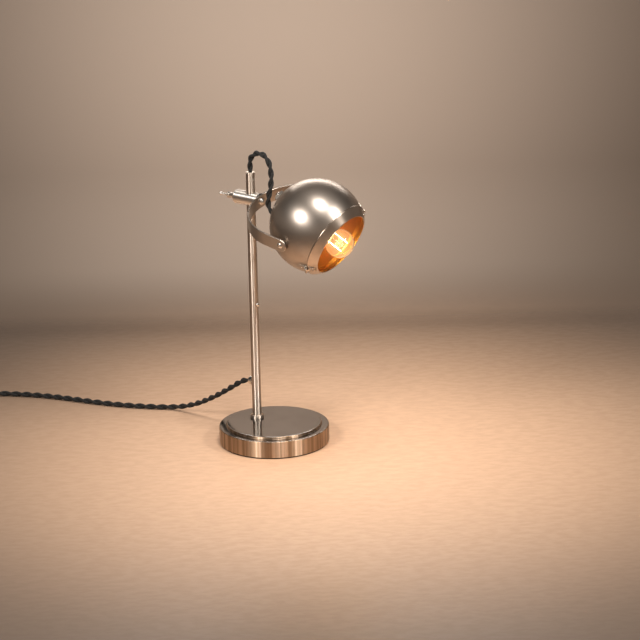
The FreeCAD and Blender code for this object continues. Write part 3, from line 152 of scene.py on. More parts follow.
coil_center = Vector((-0.1438, 0.5889, 0.0))
coil_entry = math.radians(216.87)
coil_exit = math.radians(200.0)
coil_points_per_turn = 18
coil_places = [        # radius and height of each turn
    (0.0425, 0.0043), (0.0425, 0.0113), (0.039, 0.0174), (0.0355, 0.0113), (0.0355, 0.0043),
]
coil_shift = math.radians(50)         # stretch over which a turn moves to its next place
coil_stagger = math.radians(55)       # each later shift comes this much sooner in its turn
coil_tail = [(-0.0355, -0.013, 0.0043), (-0.034, -0.003, 0.0048)]     # from its centre
plug_rear = coil_center + Vector((-0.020, 0.005, 0.007))
plug_heading = Vector((math.cos(math.radians(-8)), math.sin(math.radians(-8)), 0.0))
plug_approach = 0.008                 # straight run of the cord behind the plug
plug_grip = 0.003                     # of the cord inside the plug


def smooth_share(value):
    """Rises smoothly from 0 to 1 as the value does, and stays there."""
    value = min(max(value, 0.0), 1.0)
    return value * value * (3 - 2 * value)


def coil_place(swept):
    """Radius and height of the coil's line after an angle, each turn moving to its next place."""
    radius, height = coil_places[0]
    for turn in range(1, len(coil_places)):
        start = turn * full_turn - coil_shift - (turn - 1) * coil_stagger
        share = smooth_share((swept - start) / coil_shift)
        radius += (coil_places[turn][0] - coil_places[turn - 1][0]) * share
        height += (coil_places[turn][1] - coil_places[turn - 1][1]) * share
    return radius, height


def coil_points():
    """Route of the coil, clockwise seen from above."""
    sweep = len(coil_places) * full_turn + coil_entry - coil_exit
    count = round(sweep / full_turn * coil_points_per_turn)
    # A spline runs inside its route, so the route is this much wider than the coil.
    widen = 2 / (1 + math.cos(math.pi / coil_points_per_turn))
    points = []
    for step in range(1, count + 1):
        swept = sweep * step / count
        radius, height = coil_place(swept)
        angle = coil_entry - swept
        around = Vector((math.cos(angle), math.sin(angle), 0.0)) * radius * widen
        points.append(tuple(coil_center + around + Vector((0, 0, height))))
    return points


def curve_along(name, kind, points):
    """A curve whose only spline is steered by the points, and that spline."""
    curve = bpy.data.curves.new(name, "CURVE")
    curve.dimensions = "3D"
    spline = curve.splines.new(kind)
    spline.points.add(len(points) - 1)
    for spot, point in zip(spline.points, points):
        spot.co = (*point, 1.0)
    return curve, spline


def mesh_of_curve(curve):
    guide = bpy.data.objects.new(curve.name + "_line", curve)
    scene.collection.objects.link(guide)
    bpy.context.view_layer.update()
    evaluated = guide.evaluated_get(bpy.context.evaluated_depsgraph_get())
    mesh = bpy.data.meshes.new_from_object(evaluated)
    bpy.data.objects.remove(guide)
    return mesh


def smooth_line(points, name):
    """Dense points of the spline that a route steers."""
    curve, spline = curve_along(name, "NURBS", points)
    spline.order_u = line_order
    spline.use_endpoint_u = True
    spline.resolution_u = line_resolution
    line = mesh_of_curve(curve)
    dense = [vertex.co.copy() for vertex in line.vertices]
    bpy.data.meshes.remove(line)
    return dense


def even_points(dense, step):
    """Points a fixed step apart along a line, and the length of the line."""
    reached = [0.0]
    for before, after in zip(dense, dense[1:]):
        reached.append(reached[-1] + (after - before).length)
    length = reached[-1]
    count = max(2, round(length / step))
    points = []
    index = 0
    for number in range(count + 1):
        target = length * number / count
        while index < len(dense) - 2 and reached[index + 1] < target:
            index += 1
        span = reached[index + 1] - reached[index]
        share = (target - reached[index]) / span if span > 0 else 0.0
        points.append(dense[index].lerp(dense[index + 1], share))
    return points, length


def carried_normals(points):
    """Tangents of a line, and directions square to them, carried along it without twist."""
    tangents = []
    last = len(points) - 1
    for index in range(len(points)):
        tangents.append((points[min(index + 1, last)] - points[max(index - 1, 0)]).normalized())
    normal = tangents[0].orthogonal().normalized()
    normals = []
    for tangent in tangents:
        normal = (normal - tangent * normal.dot(tangent)).normalized()
        normals.append(normal)
    return tangents, normals


def strand_centers(points, normals_of, step, strand, half_twist):
    """Middle of one strand, which winds round the pair's line and is pinched at both ends."""
    tangents, normals = normals_of
    centers = []
    for index in range(len(points)):
        from_end = min(index, len(points) - 1 - index) * step
        spread = pinch_share + (1 - pinch_share) * smooth_share(from_end / pinch_length)
        angle = math.pi * (index * step / half_twist + strand)
        side = tangents[index].cross(normals[index])
        offset = normals[index] * math.cos(angle) + side * math.sin(angle)
        centers.append(points[index] + offset * spread * strand_diameter / 2)
    return centers


def strand_rings(mesh, centers, first, last):
    """Rings of vertices round a stretch of a strand."""
    tangents, normals = carried_normals(centers)
    rings = []
    for index in range(first, last + 1):
        side = tangents[index].cross(normals[index])
        ring = []
        for corner in range(strand_sides):
            turn = full_turn * corner / strand_sides
            reach = normals[index] * math.cos(turn) + side * math.sin(turn)
            ring.append(mesh.verts.new(centers[index] + reach * strand_diameter / 2))
        rings.append(ring)
    return rings


def skin_rings(mesh, weave, rings, first, step):
    """Smooth faces from ring to ring, laid out in the UV map round and along the strand."""
    for row, (ring, following) in enumerate(zip(rings, rings[1:])):
        along = (first + row) * step
        for corner in range(strand_sides):
            after = (corner + 1) % strand_sides
            face = mesh.faces.new((ring[corner], ring[after], following[after], following[corner]))
            face.smooth = True
            near, far = corner / strand_sides, (corner + 1) / strand_sides
            spots = ((near, along), (far, along), (far, along + step), (near, along + step))
            for loop, spot in zip(face.loops, spots):
                loop[weave].uv = spot


def new_piece(name, mesh, material):
    """An object made of a finished bmesh."""
    data = bpy.data.meshes.new(name)
    mesh.to_mesh(data)
    mesh.free()
    data.materials.append(material)
    piece = bpy.data.objects.new(name, data)
    scene.collection.objects.link(piece)
    return piece


def twisted_pair(name, points, normals_of, first, last, half_twist):
    """Two twisted strands along a stretch of a line, closed where the line itself ends."""
    mesh = bmesh.new()
    weave = mesh.loops.layers.uv.new("weave")
    step = (points[1] - points[0]).length
    for strand in range(2):
        centers = strand_centers(points, normals_of, step, strand, half_twist)
        rings = strand_rings(mesh, centers, first, last)
        skin_rings(mesh, weave, rings, first, step)
        if first == 0:
            mesh.faces.new(list(reversed(rings[0])))
        if last == len(points) - 1:
            mesh.faces.new(rings[-1])
    mesh.normal_update()
    return new_piece(name, mesh, finishes["cord_cloth"])


def add_jumper():
    points, length = even_points(smooth_line(jumper_route, "jumper_guide"), strand_step)
    normals_of = carried_normals(points)
    first = 0
    for name, share, before, after, start, end in jumper_stretches:
        last = round(share * (len(points) - 1))
        piece = twisted_pair(name, points, normals_of, first, last, jumper_half_twist)
        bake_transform(piece)
        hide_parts("jumper_cord")
        first = last


def plug_lead():
    """Route of the cord from the coil into the plug that lies in its middle."""
    tail = [tuple(coil_center + Vector(point)) for point in coil_tail]
    behind = tuple(plug_rear - plug_heading * plug_approach)
    inside = tuple(plug_rear + plug_heading * plug_grip)
    return tail + [behind, inside]


def add_mains_cord():
    route = mains_route + switch_route + coil_points() + plug_lead()
    points, length = even_points(smooth_line(route, "mains_guide"), strand_step)
    normals_of = carried_normals(points)
    last = len(points) - 1
    piece = twisted_pair("mains_cord_pair", points, normals_of, 0, last, mains_half_twist)
    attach(piece, "base")
    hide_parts("mains_cord", "cord_coil", "coil_lead_in", "coil_lead_out")


# ---- Shader nodes ---------------------------------------------------------------------
mix_color_inputs = (6, 7)     # sockets of a Mix node that hold colours
mix_color_output = 2
bevel_samples = 4
quarter_turn = 0.25           # as the Anisotropic Rotation socket counts turns


def shader_of(material):
    """The node tree of a material and its Principled shader."""
    tree = material.node_tree
    return tree, tree.nodes["Principled BSDF"]


def new_material(name):
    """A material with one Principled shader; returns the material, its tree and the shader."""
    material = bpy.data.materials.new(name)
    material.use_nodes = True
    return material, *shader_of(material)


def feed(tree, socket, value):
    """Sets a socket to a plain value, or links it to another node's output; None leaves it."""
    if isinstance(value, bpy.types.NodeSocket):
        tree.links.new(value, socket)
    elif value is not None:
        socket.default_value = value


def math_node(tree, operation, first, second=None):
    node = tree.nodes.new("ShaderNodeMath")
    node.operation = operation
    feed(tree, node.inputs[0], first)
    feed(tree, node.inputs[1], second)
    return node.outputs[0]


def vector_node(tree, operation, first, second=None, scale=None):
    node = tree.nodes.new("ShaderNodeVectorMath")
    node.operation = operation
    feed(tree, node.inputs[0], first)
    feed(tree, node.inputs[1], second)
    if scale is not None:
        feed(tree, node.inputs["Scale"], scale)
    return node.outputs["Value" if operation in ("DOT_PRODUCT", "LENGTH") else "Vector"]


def part_of(tree, vector, axis):
    """The X, Y or Z part of a vector."""
    node = tree.nodes.new("ShaderNodeSeparateXYZ")
    tree.links.new(vector, node.inputs[0])
    return node.outputs[axis]


def noise(tree, vector, scale, detail=3.0, roughness=0.5):
    node = tree.nodes.new("ShaderNodeTexNoise")
    node.inputs["Scale"].default_value = scale
    node.inputs["Detail"].default_value = detail
    node.inputs["Roughness"].default_value = roughness
    tree.links.new(vector, node.inputs["Vector"])
    return node.outputs["Fac"]


def between(tree, value, low, high, out_low=0.0, out_high=1.0):
    """A smooth step from out_low to out_high as the value goes from low to high."""
    node = tree.nodes.new("ShaderNodeMapRange")
    node.interpolation_type = "SMOOTHSTEP"
    tree.links.new(value, node.inputs["Value"])
    node.inputs["From Min"].default_value = low
    node.inputs["From Max"].default_value = high
    node.inputs["To Min"].default_value = out_low
    node.inputs["To Max"].default_value = out_high
    return node.outputs["Result"]


def blend_colors(tree, share, first, second):
    """The first colour where the share is 0, and the second where it is 1."""
    node = tree.nodes.new("ShaderNodeMix")
    node.data_type = "RGBA"
    tree.links.new(share, node.inputs["Factor"])
    for index, color in zip(mix_color_inputs, (first, second)):
        feed(tree, node.inputs[index], (*color, 1.0) if isinstance(color, tuple) else color)
    return node.outputs[mix_color_output]


def recolor(tree, shader, share, color):
    """Turns the colour that a shader has into another where the share is 1."""
    own = shader.inputs["Base Color"].links[0].from_socket
    tree.links.new(blend_colors(tree, share, own, color), shader.inputs["Base Color"])


def object_place(tree):
    return tree.nodes.new("ShaderNodeTexCoord").outputs["Object"]


def facing(tree):
    return tree.nodes.new("ShaderNodeTexCoord").outputs["Normal"]


def distance_from(tree, place, point):
    return vector_node(tree, "LENGTH", vector_node(tree, "SUBTRACT", place, point))


def bevelled_bump(tree, shader, height, distance, strength, edge_radius=0.0):
    """Grain on a surface whose sharp edges catch the light as rounded ones."""
    bump = tree.nodes.new("ShaderNodeBump")
    bump.inputs["Strength"].default_value = strength
    bump.inputs["Distance"].default_value = distance
    tree.links.new(height, bump.inputs["Height"])
    if edge_radius > 0:
        bevel = tree.nodes.new("ShaderNodeBevel")
        bevel.samples = bevel_samples
        bevel.inputs["Radius"].default_value = edge_radius
        tree.links.new(bevel.outputs["Normal"], bump.inputs["Normal"])
    tree.links.new(bump.outputs["Normal"], shader.inputs["Normal"])


# ---- Which way the grain runs ---------------------------------------------------------
def turned_place(tree, origin, axis, fine, coarse):
    """Coordinates that vary finely along and out from an axis, and slowly round it."""
    place = vector_node(tree, "SUBTRACT", object_place(tree), origin)
    along = vector_node(tree, "DOT_PRODUCT", place, axis)
    lengthwise = vector_node(tree, "SCALE", axis, scale=along)
    across = vector_node(tree, "SUBTRACT", place, lengthwise)
    radius = vector_node(tree, "LENGTH", across)
    around = vector_node(tree, "SCALE", vector_node(tree, "NORMALIZE", across), scale=coarse)
    depth = math_node(tree, "MULTIPLY", math_node(tree, "ADD", along, radius), fine)
    return vector_node(tree, "ADD", around, vector_node(tree, "SCALE", axis, scale=depth))


def about_base(tree):
    return turned_place(tree, base_center, upright, fine=1800.0, coarse=7.0)


def about_stem(tree):
    return turned_place(tree, stem_axis, upright, fine=1500.0, coarse=3.0)


def about_clamp(tree):
    return turned_place(tree, clamp_front, clamp_axis, fine=1500.0, coarse=3.0)


def about_beam(tree):
    return turned_place(tree, ball_center, beam, fine=1300.0, coarse=5.0)


def along_strap(tree, fine=1400.0, coarse=30.0):
    """Coordinates that vary finely across the strap, and slowly the long way of it."""
    place = object_place(tree)
    sideways = near_side.cross(beam)
    across = math_node(tree, "MULTIPLY", vector_node(tree, "DOT_PRODUCT", place, sideways), fine)
    spread = vector_node(tree, "SCALE", sideways, scale=across)
    return vector_node(tree, "ADD", vector_node(tree, "SCALE", place, scale=coarse), spread)


def every_way(tree, fine=420.0):
    """Coordinates that vary alike in all directions."""
    return vector_node(tree, "SCALE", object_place(tree), scale=fine)


def spun_highlights(material, origin, axis, amount):
    """Stretches reflections across the fine lines that a lathe leaves round an axis."""
    tree, shader = shader_of(material)
    place = vector_node(tree, "SUBTRACT", object_place(tree), origin)
    around = tree.nodes.new("ShaderNodeVectorTransform")
    around.vector_type = "VECTOR"
    around.convert_from = "OBJECT"
    around.convert_to = "WORLD"
    tree.links.new(vector_node(tree, "CROSS_PRODUCT", axis, place), around.inputs[0])
    tree.links.new(around.outputs[0], shader.inputs["Tangent"])
    shader.inputs["Anisotropic Rotation"].default_value = quarter_turn
    feed(tree, shader.inputs["Anisotropic"], amount)


# ---- Materials ------------------------------------------------------------------------
edge_softness = 0.0002        # radius of the edges that catch the light

# Metals: bright and tarnished colour, least and most roughness, and the way of the grain.
metals = {
    "base_nickel": ((0.44, 0.44, 0.44), (0.38, 0.375, 0.37), 0.12, 0.45, about_base),
    "stem_nickel": ((0.86, 0.75, 0.65), (0.76, 0.64, 0.53), 0.44, 0.49, about_stem),
    "ball_nickel": ((0.47, 0.41, 0.355), (0.39, 0.33, 0.28), 0.33, 0.38, about_beam),
    "bezel_nickel": ((0.52, 0.44, 0.37), (0.43, 0.355, 0.29), 0.29, 0.35, about_beam),
    "strap_nickel": ((0.64, 0.57, 0.50), (0.55, 0.47, 0.40), 0.30, 0.38, along_strap),
    "satin_nickel": ((0.92, 0.87, 0.81), (0.82, 0.76, 0.69), 0.44, 0.50, about_clamp),
    "bright_nickel": ((0.80, 0.75, 0.69), (0.70, 0.64, 0.57), 0.20, 0.30, every_way),
    "hinge_nickel": ((0.62, 0.54, 0.46), (0.46, 0.38, 0.31), 0.30, 0.42, every_way),
    "brass": ((0.78, 0.58, 0.28), (0.60, 0.42, 0.18), 0.22, 0.36, every_way),
    "steel": ((0.56, 0.55, 0.53), (0.42, 0.40, 0.38), 0.26, 0.42, every_way),
    "cast_iron": ((0.22, 0.21, 0.20), (0.15, 0.14, 0.13), 0.55, 0.75, every_way),
}
metal_extras = {
    "ball_nickel": {"edge_radius": 0.0, "cloud": 18.0},
    "cast_iron": {"grain": 0.0003},
}

# Lathe-turned metals: a point on the axis, its direction, and how far highlights stretch.
turned_metals = {
    "stem_nickel": (stem_axis, upright, 1.0),
    "satin_nickel": (clamp_front, clamp_axis, 0.95),
    "bezel_nickel": (ball_center, beam, 0.8),
    "ball_nickel": (ball_center, beam, 0.3),
}
# Side of the base: warmer colours than its top, in bands round it, as painted warm bounce light and
# painted reflection streaks
base_side_painted_light_colors = ((0.42, 0.285, 0.185), (0.74, 0.55, 0.40))
# Orange painted on the inside of the head: the bulb's warm glow on the nickel, as painted light
inside_painted_bulb_glow = (0.50, 0.265, 0.036)
bulb_glow_painted_metals = ("ball_nickel", "bezel_nickel")

# Other solids: main and clouded colour, roughness, the skin's scale and depth, and its coat.
plastics = {
    "felt": ((0.020, 0.019, 0.018), (0.012, 0.011, 0.011), 0.9, 1400.0, 0.0004, 0.0),
    "fibre": ((0.020, 0.018, 0.016), (0.012, 0.011, 0.010), 0.6, 700.0, 0.00004, 0.0),
    "bakelite": ((0.028, 0.020, 0.016), (0.016, 0.012, 0.010), 0.30, 700.0, 0.00004, 0.3),
    "tie": ((0.030, 0.030, 0.032), (0.018, 0.018, 0.019), 0.8, 1600.0, 0.0003, 0.0),
}

# Glass: its colour, and the colour and strength of the glow it takes on round the filaments.
glasses = {
    "amber_glass": ((1.0, 0.90, 0.72), (1.0, 0.58, 0.25), 0.13),
    "stem_glass": ((1.0, 0.85, 0.60), (1.0, 0.45, 0.12), 0.6),
}
glass_index = 1.45
glass_shade = 0.93            # of the colour, in the glass's ripples

filament_glow = (1.0, 0.86, 0.64)
filament_strength = 260.0
filament_colors = ((0.9, 0.35, 0.06), (1.0, 0.55, 0.18))

cloth_threads = 8             # round each strand, in each of the two directions
# Black of the cloth, and the lighter colour of the painted sheen on its raised threads
cloth_and_painted_shine_colors = ((0.003, 0.003, 0.003), (0.016, 0.015, 0.014))
cloth_sheen = 0.08


def metal(name, bright, dull, smooth, rough, way, grain=0.00002, edge_radius=edge_softness, cloud=22.0):
    """Metal with fine tool marks, a faint uneven tarnish and softened edges."""
    material, tree, shader = new_material(name + "_finish")
    shader.inputs["Metallic"].default_value = 1.0
    marks = noise(tree, way(tree), scale=1.0, detail=4.0, roughness=0.6)
    tarnish = between(tree, noise(tree, object_place(tree), cloud), low=0.3, high=0.75)
    tree.links.new(blend_colors(tree, tarnish, bright, dull), shader.inputs["Base Color"])
    wear = math_node(tree, "MULTIPLY", math_node(tree, "ADD", marks, tarnish), 0.5)
    dullness = between(tree, wear, low=0.2, high=0.8, out_low=smooth, out_high=rough)
    tree.links.new(dullness, shader.inputs["Roughness"])
    bevelled_bump(tree, shader, marks, distance=grain, strength=0.25, edge_radius=edge_radius)
    return material


def turn_base_and_paint_side_light(material):
    """Keeps a cool mirror on the base's level faces, paints its side warmer in bands round it (painted
    warm bounce light and painted reflection streaks), and stretches the side's highlights across its
    lathe lines.
    """
    tree, shader = shader_of(material)
    level = math_node(tree, "ABSOLUTE", part_of(tree, facing(tree), "Z"))
    side = between(tree, level, low=0.70, high=0.99, out_low=1.0, out_high=0.0)
    # Bands round the side, the same all the way up: painted reflection streaks
    flat = vector_node(tree, "MULTIPLY", object_place(tree), Vector((1, 1, 0)))
    streaks = noise(tree, vector_node(tree, "NORMALIZE", flat), scale=11.0, roughness=0.7)
    painted_streak_bands = between(tree, streaks, low=0.40, high=0.60)
    recolor(tree, shader, side, blend_colors(tree, painted_streak_bands, *base_side_painted_light_colors))
    spun_highlights(material, base_center, upright, side)
    mirror, brushed = metals["base_nickel"][2:4]
    dullness = between(tree, side, low=0.0, high=1.0, out_low=mirror, out_high=brushed)
    tree.links.new(dullness, shader.inputs["Roughness"])


def paint_bulb_glow_inside(material):
    """Paints the warm glow of the bulb, as an orange colour, onto the faces that look towards the
    middle of the ball.
    """
    tree, shader = shader_of(material)
    from_middle = vector_node(tree, "SUBTRACT", object_place(tree), ball_center)
    outward = vector_node(tree, "DOT_PRODUCT", facing(tree), from_middle)
    inside = between(tree, outward, low=-0.01, high=0.01, out_low=1.0, out_high=0.0)
    recolor(tree, shader, inside, inside_painted_bulb_glow)


def plastic(name, color, dark, rough, skin_scale, skin_depth, coat):
    """Moulded or pressed non-metal with a fine skin and faint cloudiness."""
    material, tree, shader = new_material(name + "_finish")
    skin = noise(tree, object_place(tree), skin_scale, detail=4.0, roughness=0.6)
    clouding = noise(tree, object_place(tree), scale=45.0, detail=4.0, roughness=0.6)
    cloud = between(tree, clouding, low=0.35, high=0.7)
    tree.links.new(blend_colors(tree, cloud, color, dark), shader.inputs["Base Color"])
    dullness = between(tree, skin, low=0.3, high=0.7, out_low=rough - 0.06, out_high=rough + 0.08)
    tree.links.new(dullness, shader.inputs["Roughness"])
    shader.inputs["Coat Weight"].default_value = coat
    bevelled_bump(tree, shader, skin, distance=skin_depth, strength=0.4, edge_radius=edge_softness)
    return material


def glass(name, color, glow, glow_strength):
    """Clear tinted glass, with the glow that a lit bulb's glass takes on."""
    material, tree, shader = new_material(name + "_finish")
    shader.inputs["Transmission Weight"].default_value = 1.0
    shader.inputs["IOR"].default_value = glass_index
    waves = noise(tree, object_place(tree), scale=60.0, detail=2.0)
    ripple = between(tree, waves, low=0.3, high=0.7)
    darker = tuple(glass_shade * part for part in color)
    tree.links.new(blend_colors(tree, ripple, color, darker), shader.inputs["Base Color"])
    dullness = between(tree, ripple, low=0.0, high=1.0, out_low=0.02, out_high=0.05)
    tree.links.new(dullness, shader.inputs["Roughness"])
    shader.inputs["Emission Color"].default_value = (*glow, 1.0)
    shader.inputs["Emission Strength"].default_value = glow_strength
    bevelled_bump(tree, shader, ripple, distance=0.0001, strength=0.15)
    return material


def filament_material():
    """Glowing carbon, a little brighter in places."""
    material, tree, shader = new_material("filament_finish")
    shimmer = noise(tree, object_place(tree), scale=900.0, detail=2.0)
    tree.links.new(blend_colors(tree, shimmer, *filament_colors), shader.inputs["Base Color"])
    shader.inputs["Emission Color"].default_value = (*filament_glow, 1.0)
    shader.inputs["Emission Strength"].default_value = filament_strength
    return material


def cloth_material():
    """Black braided cotton: two sets of threads crossing round each strand, the raised threads painted
    lighter as a painted sheen.
    """
    material, tree, shader = new_material("cord_cloth_finish")
    weave = tree.nodes.new("ShaderNodeUVMap")
    weave.uv_map = "weave"
    thread_round = full_turn * cloth_threads
    thread_along = thread_round / (math.pi * strand_diameter)
    around = math_node(tree, "MULTIPLY", part_of(tree, weave.outputs["UV"], "X"), thread_round)
    along = math_node(tree, "MULTIPLY", part_of(tree, weave.outputs["UV"], "Y"), thread_along)
    one_way = math_node(tree, "SINE", math_node(tree, "ADD", around, along))
    other_way = math_node(tree, "SINE", math_node(tree, "SUBTRACT", around, along))
    threads = between(tree, math_node(tree, "MAXIMUM", one_way, other_way), low=-0.2, high=1.0)
    fluff = noise(tree, object_place(tree), scale=900.0, detail=4.0, roughness=0.7)
    raised = math_node(tree, "ADD", threads, math_node(tree, "MULTIPLY", fluff, 0.5))
    painted_thread_shine = between(tree, raised, low=0.2, high=1.4)
    tree.links.new(blend_colors(tree, painted_thread_shine, *cloth_and_painted_shine_colors), shader.inputs["Base Color"])
    dullness = between(tree, fluff, low=0.3, high=0.7, out_low=0.72, out_high=0.92)
    tree.links.new(dullness, shader.inputs["Roughness"])
    shader.inputs["Sheen Weight"].default_value = cloth_sheen
    shader.inputs["Sheen Roughness"].default_value = 0.5
    bevelled_bump(tree, shader, raised, distance=0.00018, strength=0.8)
    return material


def make_finishes():
    """All materials of the lamp, by name."""
    made = {"cord_cloth": cloth_material(), "filament": filament_material()}
    for name, look in metals.items():
        made[name] = metal(name, *look, **metal_extras.get(name, {}))
    for name, look in plastics.items():
        made[name] = plastic(name, *look)
    for name, look in glasses.items():
        made[name] = glass(name, *look)
    turn_base_and_paint_side_light(made["base_nickel"])
    for name, turning in turned_metals.items():
        spun_highlights(made[name], *turning)
    for name in bulb_glow_painted_metals:
        paint_bulb_glow_inside(made[name])
    return made


finishes = make_finishes()
node_finishes = {
    "felt": ["felt_pad"],
    "base_nickel": ["base_cover"],
    "cast_iron": ["base_weight"],
    "steel": [
        "base_stud", "base_nut", "base_washer", "ferrule_screw", "pivot_nuts", "hinge_pin",
        "plug_blades",
    ],
    "stem_nickel": ["stem_tube", "stem_ferrule", "foot_collar"],
    "satin_nickel": [
        "clamp_block", "thumb_screw", "nose_bolt", "pole_washer", "cord_gland", "gland_nut",
    ],
    "bright_nickel": [
        "cord_bushing", "pivot_spacers", "stop_screw", "pivot_screws", "pole_nut", "catch_stud",
        "catch_rivet", "hinge_rivets_ball", "hinge_rivets_bezel",
    ],
    "brass": ["friction_sleeve", "clamp_shoe", "bulb_cap", "holder_spacer", "holder_nipple"],
    "fibre": ["nose_washer"],
    "strap_nickel": ["yoke_strap"],
    "ball_nickel": ["ball_shell"],
    "bezel_nickel": ["bezel_ring"],
    "hinge_nickel": ["hinge_leaf_ball", "hinge_leaf_bezel", "catch_spring"],
    "bakelite": ["lampholder", "switch_upper", "switch_lower", "switch_rocker", "plug_body"],
    "tie": ["coil_tie"],
    "cord_cloth": ["stem_lead", "head_lead"],
    "amber_glass": ["bulb_globe"],
}


def finish_nodes():
    for finish, names in node_finishes.items():
        for name in names:
            materials = nodes[name].data.materials
            materials.clear()
            materials.append(finishes[finish])


# ---- Bulb -----------------------------------------------------------------------------
# Places along the beam are ahead of the centre of the ball.
globe_ahead = 0.041           # middle of the globe
filament_turn = math.radians(41.5)
filament_spread = 0.0069      # of each filament from the bulb's axis
filament_rear = 0.0268
filament_front = 0.0496
filament_radius = 0.00045
filament_steps = 9
wire_radius = 0.0004
post_ends = (0.018, 0.052)
glass_stem_places = (0.006, 0.017, 0.021)
glass_stem_radius = 0.0032
wire_roundness = 3            # Blender's bevel resolution
glass_stem_roundness = 7


def beam_point(right=0.0, down=0.0, ahead=0.0):
    """A point in the head's own axes: towards the near pivot, down, and along the beam."""
    down_axis = beam.cross(near_side)
    return ball_center + near_side * right + down_axis * down + beam * ahead


def thin_rod(name, points, radius, material, roundness):
    """A round wire along a few points, as a mesh."""
    curve, spline = curve_along(name, "POLY", points)
    curve.bevel_depth = radius
    curve.bevel_resolution = roundness
    curve.use_fill_caps = True
    mesh = mesh_of_curve(curve)
    for face in mesh.polygons:
        face.use_smooth = True
    mesh.materials.clear()
    mesh.materials.append(material)
    piece = bpy.data.objects.new(name, mesh)
    scene.collection.objects.link(piece)
    return piece


def add_in_bulb(name, points, radius, finish, roundness=wire_roundness):
    """A wire or rod inside the bulb."""
    piece = thin_rod(name, points, radius, finishes[finish], roundness)
    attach(piece, "head")
    return piece


def add_filament(side, letter):
    """One straight filament in line with the beam, and the two wires that hold its ends."""
    right = side * filament_spread * math.cos(filament_turn)
    down = side * filament_spread * math.sin(filament_turn)
    points = []
    for step in range(filament_steps + 1):
        ahead = filament_rear + (filament_front - filament_rear) * step / filament_steps
        points.append(beam_point(right, down, ahead))
    filament = add_in_bulb("filament_" + letter, points, filament_radius, "filament")
    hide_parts("filament_mount")
    for number, ahead in enumerate((filament_rear, filament_front)):
        arm = [beam_point(ahead=ahead), beam_point(right, down, ahead)]
        add_in_bulb(f"support_wire_{number}{letter}", arm, wire_radius, "steel")


def add_bulb_insides():
    """Glass stem, post, support wires and two filaments."""
    for side, letter in ((-1, "a"), (1, "b")):
        add_filament(side, letter)
    post = [beam_point(ahead=ahead) for ahead in post_ends]
    add_in_bulb("filament_post", post, wire_radius, "steel")
    stem = [beam_point(ahead=ahead) for ahead in glass_stem_places]
    add_in_bulb(
        "filament_stem", stem, glass_stem_radius, "stem_glass", glass_stem_roundness,
    )


# ---- Floor and backdrop ---------------------------------------------------------------
floor_radius = 4.0
floor_sides = 96
sweep_start = 0.46            # where the backdrop begins to sweep up behind the lamp
sweep_lift = 0.0005           # of the start of the sweep above the floor
sweep_radius = 0.22
sweep_steps = 12
backdrop_top = 1.05
backdrop_half_width = 0.80

floor_colors = ((0.78, 0.51, 0.335), (0.69, 0.44, 0.285))
# Floor colour far from the painted pool of light: painted shade
painted_unlit_floor_color = (0.12, 0.088, 0.067)
mottle_stretch = 0.6          # 0 for round blotches, near 1 for very long ones
floor_polish = (0.34, 0.42)   # least and most roughness, by the mottle
floor_specular = 0.35
wall_roughness_added = 0.6
painted_pool_place = (0.09, -0.01)    # middle of the painted pool of light: across the view, and away
painted_pool_edges = (0.04, 0.78)     # distances at which the painted light starts and ends to darken
# Backdrop: its colour in a painted glow round a point up the wall, turning to a painted dark colour
# further from it
wall_color = (0.45, 0.365, 0.30)
painted_unlit_wall_color = (0.105, 0.080, 0.062)
painted_wall_glow_height = 0.4
painted_wall_glow_reach = 0.8
wall_foot = (-0.012, 0.08)    # heights between which the floor's look turns into the wall's
sweep_fade = (0.002, 0.022)   # heights between which the sweep stops being clear


def stage_axes():
    """Level directions away from the camera and to its right."""
    back = view_axes()[2]
    away = Vector((-back.x, -back.y, 0)).normalized()
    return away, Vector((away.y, -away.x, 0))


def floor_mottle(tree, place, across):
    """Faint blotches, longer across the view than away from it."""
    aside = vector_node(tree, "DOT_PRODUCT", place, across)
    squeeze = math_node(tree, "MULTIPLY", aside, mottle_stretch)
    streaky = vector_node(tree, "SUBTRACT", place, vector_node(tree, "SCALE", across, scale=squeeze))
    blotches = noise(tree, streaky, scale=120.0, detail=6.0, roughness=0.62)
    return between(tree, blotches, low=0.3, high=0.7)


def stage_finish(away, across):
    """Pale mottled floor with a slight polish in a painted pool of light that darkens further out,
    browner up the backdrop, which has a painted glow.
    """
    material, tree, shader = new_material("studio_floor_finish")
    place = object_place(tree)
    mottle = floor_mottle(tree, place, across)
    # Painted pool of light: the floor's colour darkens with distance from it
    painted_pool_center = across * painted_pool_place[0] + away * painted_pool_place[1]
    painted_pool_falloff = between(tree, distance_from(tree, place, painted_pool_center), *painted_pool_edges)
    pale = blend_colors(tree, mottle, *floor_colors)
    floor_color = blend_colors(tree, painted_pool_falloff, pale, painted_unlit_floor_color)
    # Painted glow on the backdrop, darkening away from its middle
    painted_glow_middle = away * (sweep_start + sweep_radius) + upright * painted_wall_glow_height
    aside = between(tree, distance_from(tree, place, painted_glow_middle), low=0.0, high=painted_wall_glow_reach)
    rise = between(tree, part_of(tree, place, "Z"), *wall_foot)
    wall = blend_colors(tree, aside, wall_color, painted_unlit_wall_color)
    tree.links.new(blend_colors(tree, rise, floor_color, wall), shader.inputs["Base Color"])
    least, most = floor_polish
    polish = between(tree, mottle, low=0.0, high=1.0, out_low=least, out_high=most)
    dulling = math_node(tree, "MULTIPLY", rise, wall_roughness_added)
    tree.links.new(math_node(tree, "ADD", polish, dulling), shader.inputs["Roughness"])
    specular = between(tree, rise, low=0.0, high=0.3, out_low=floor_specular, out_high=0.0)
    tree.links.new(specular, shader.inputs["Specular IOR Level"])
    return material


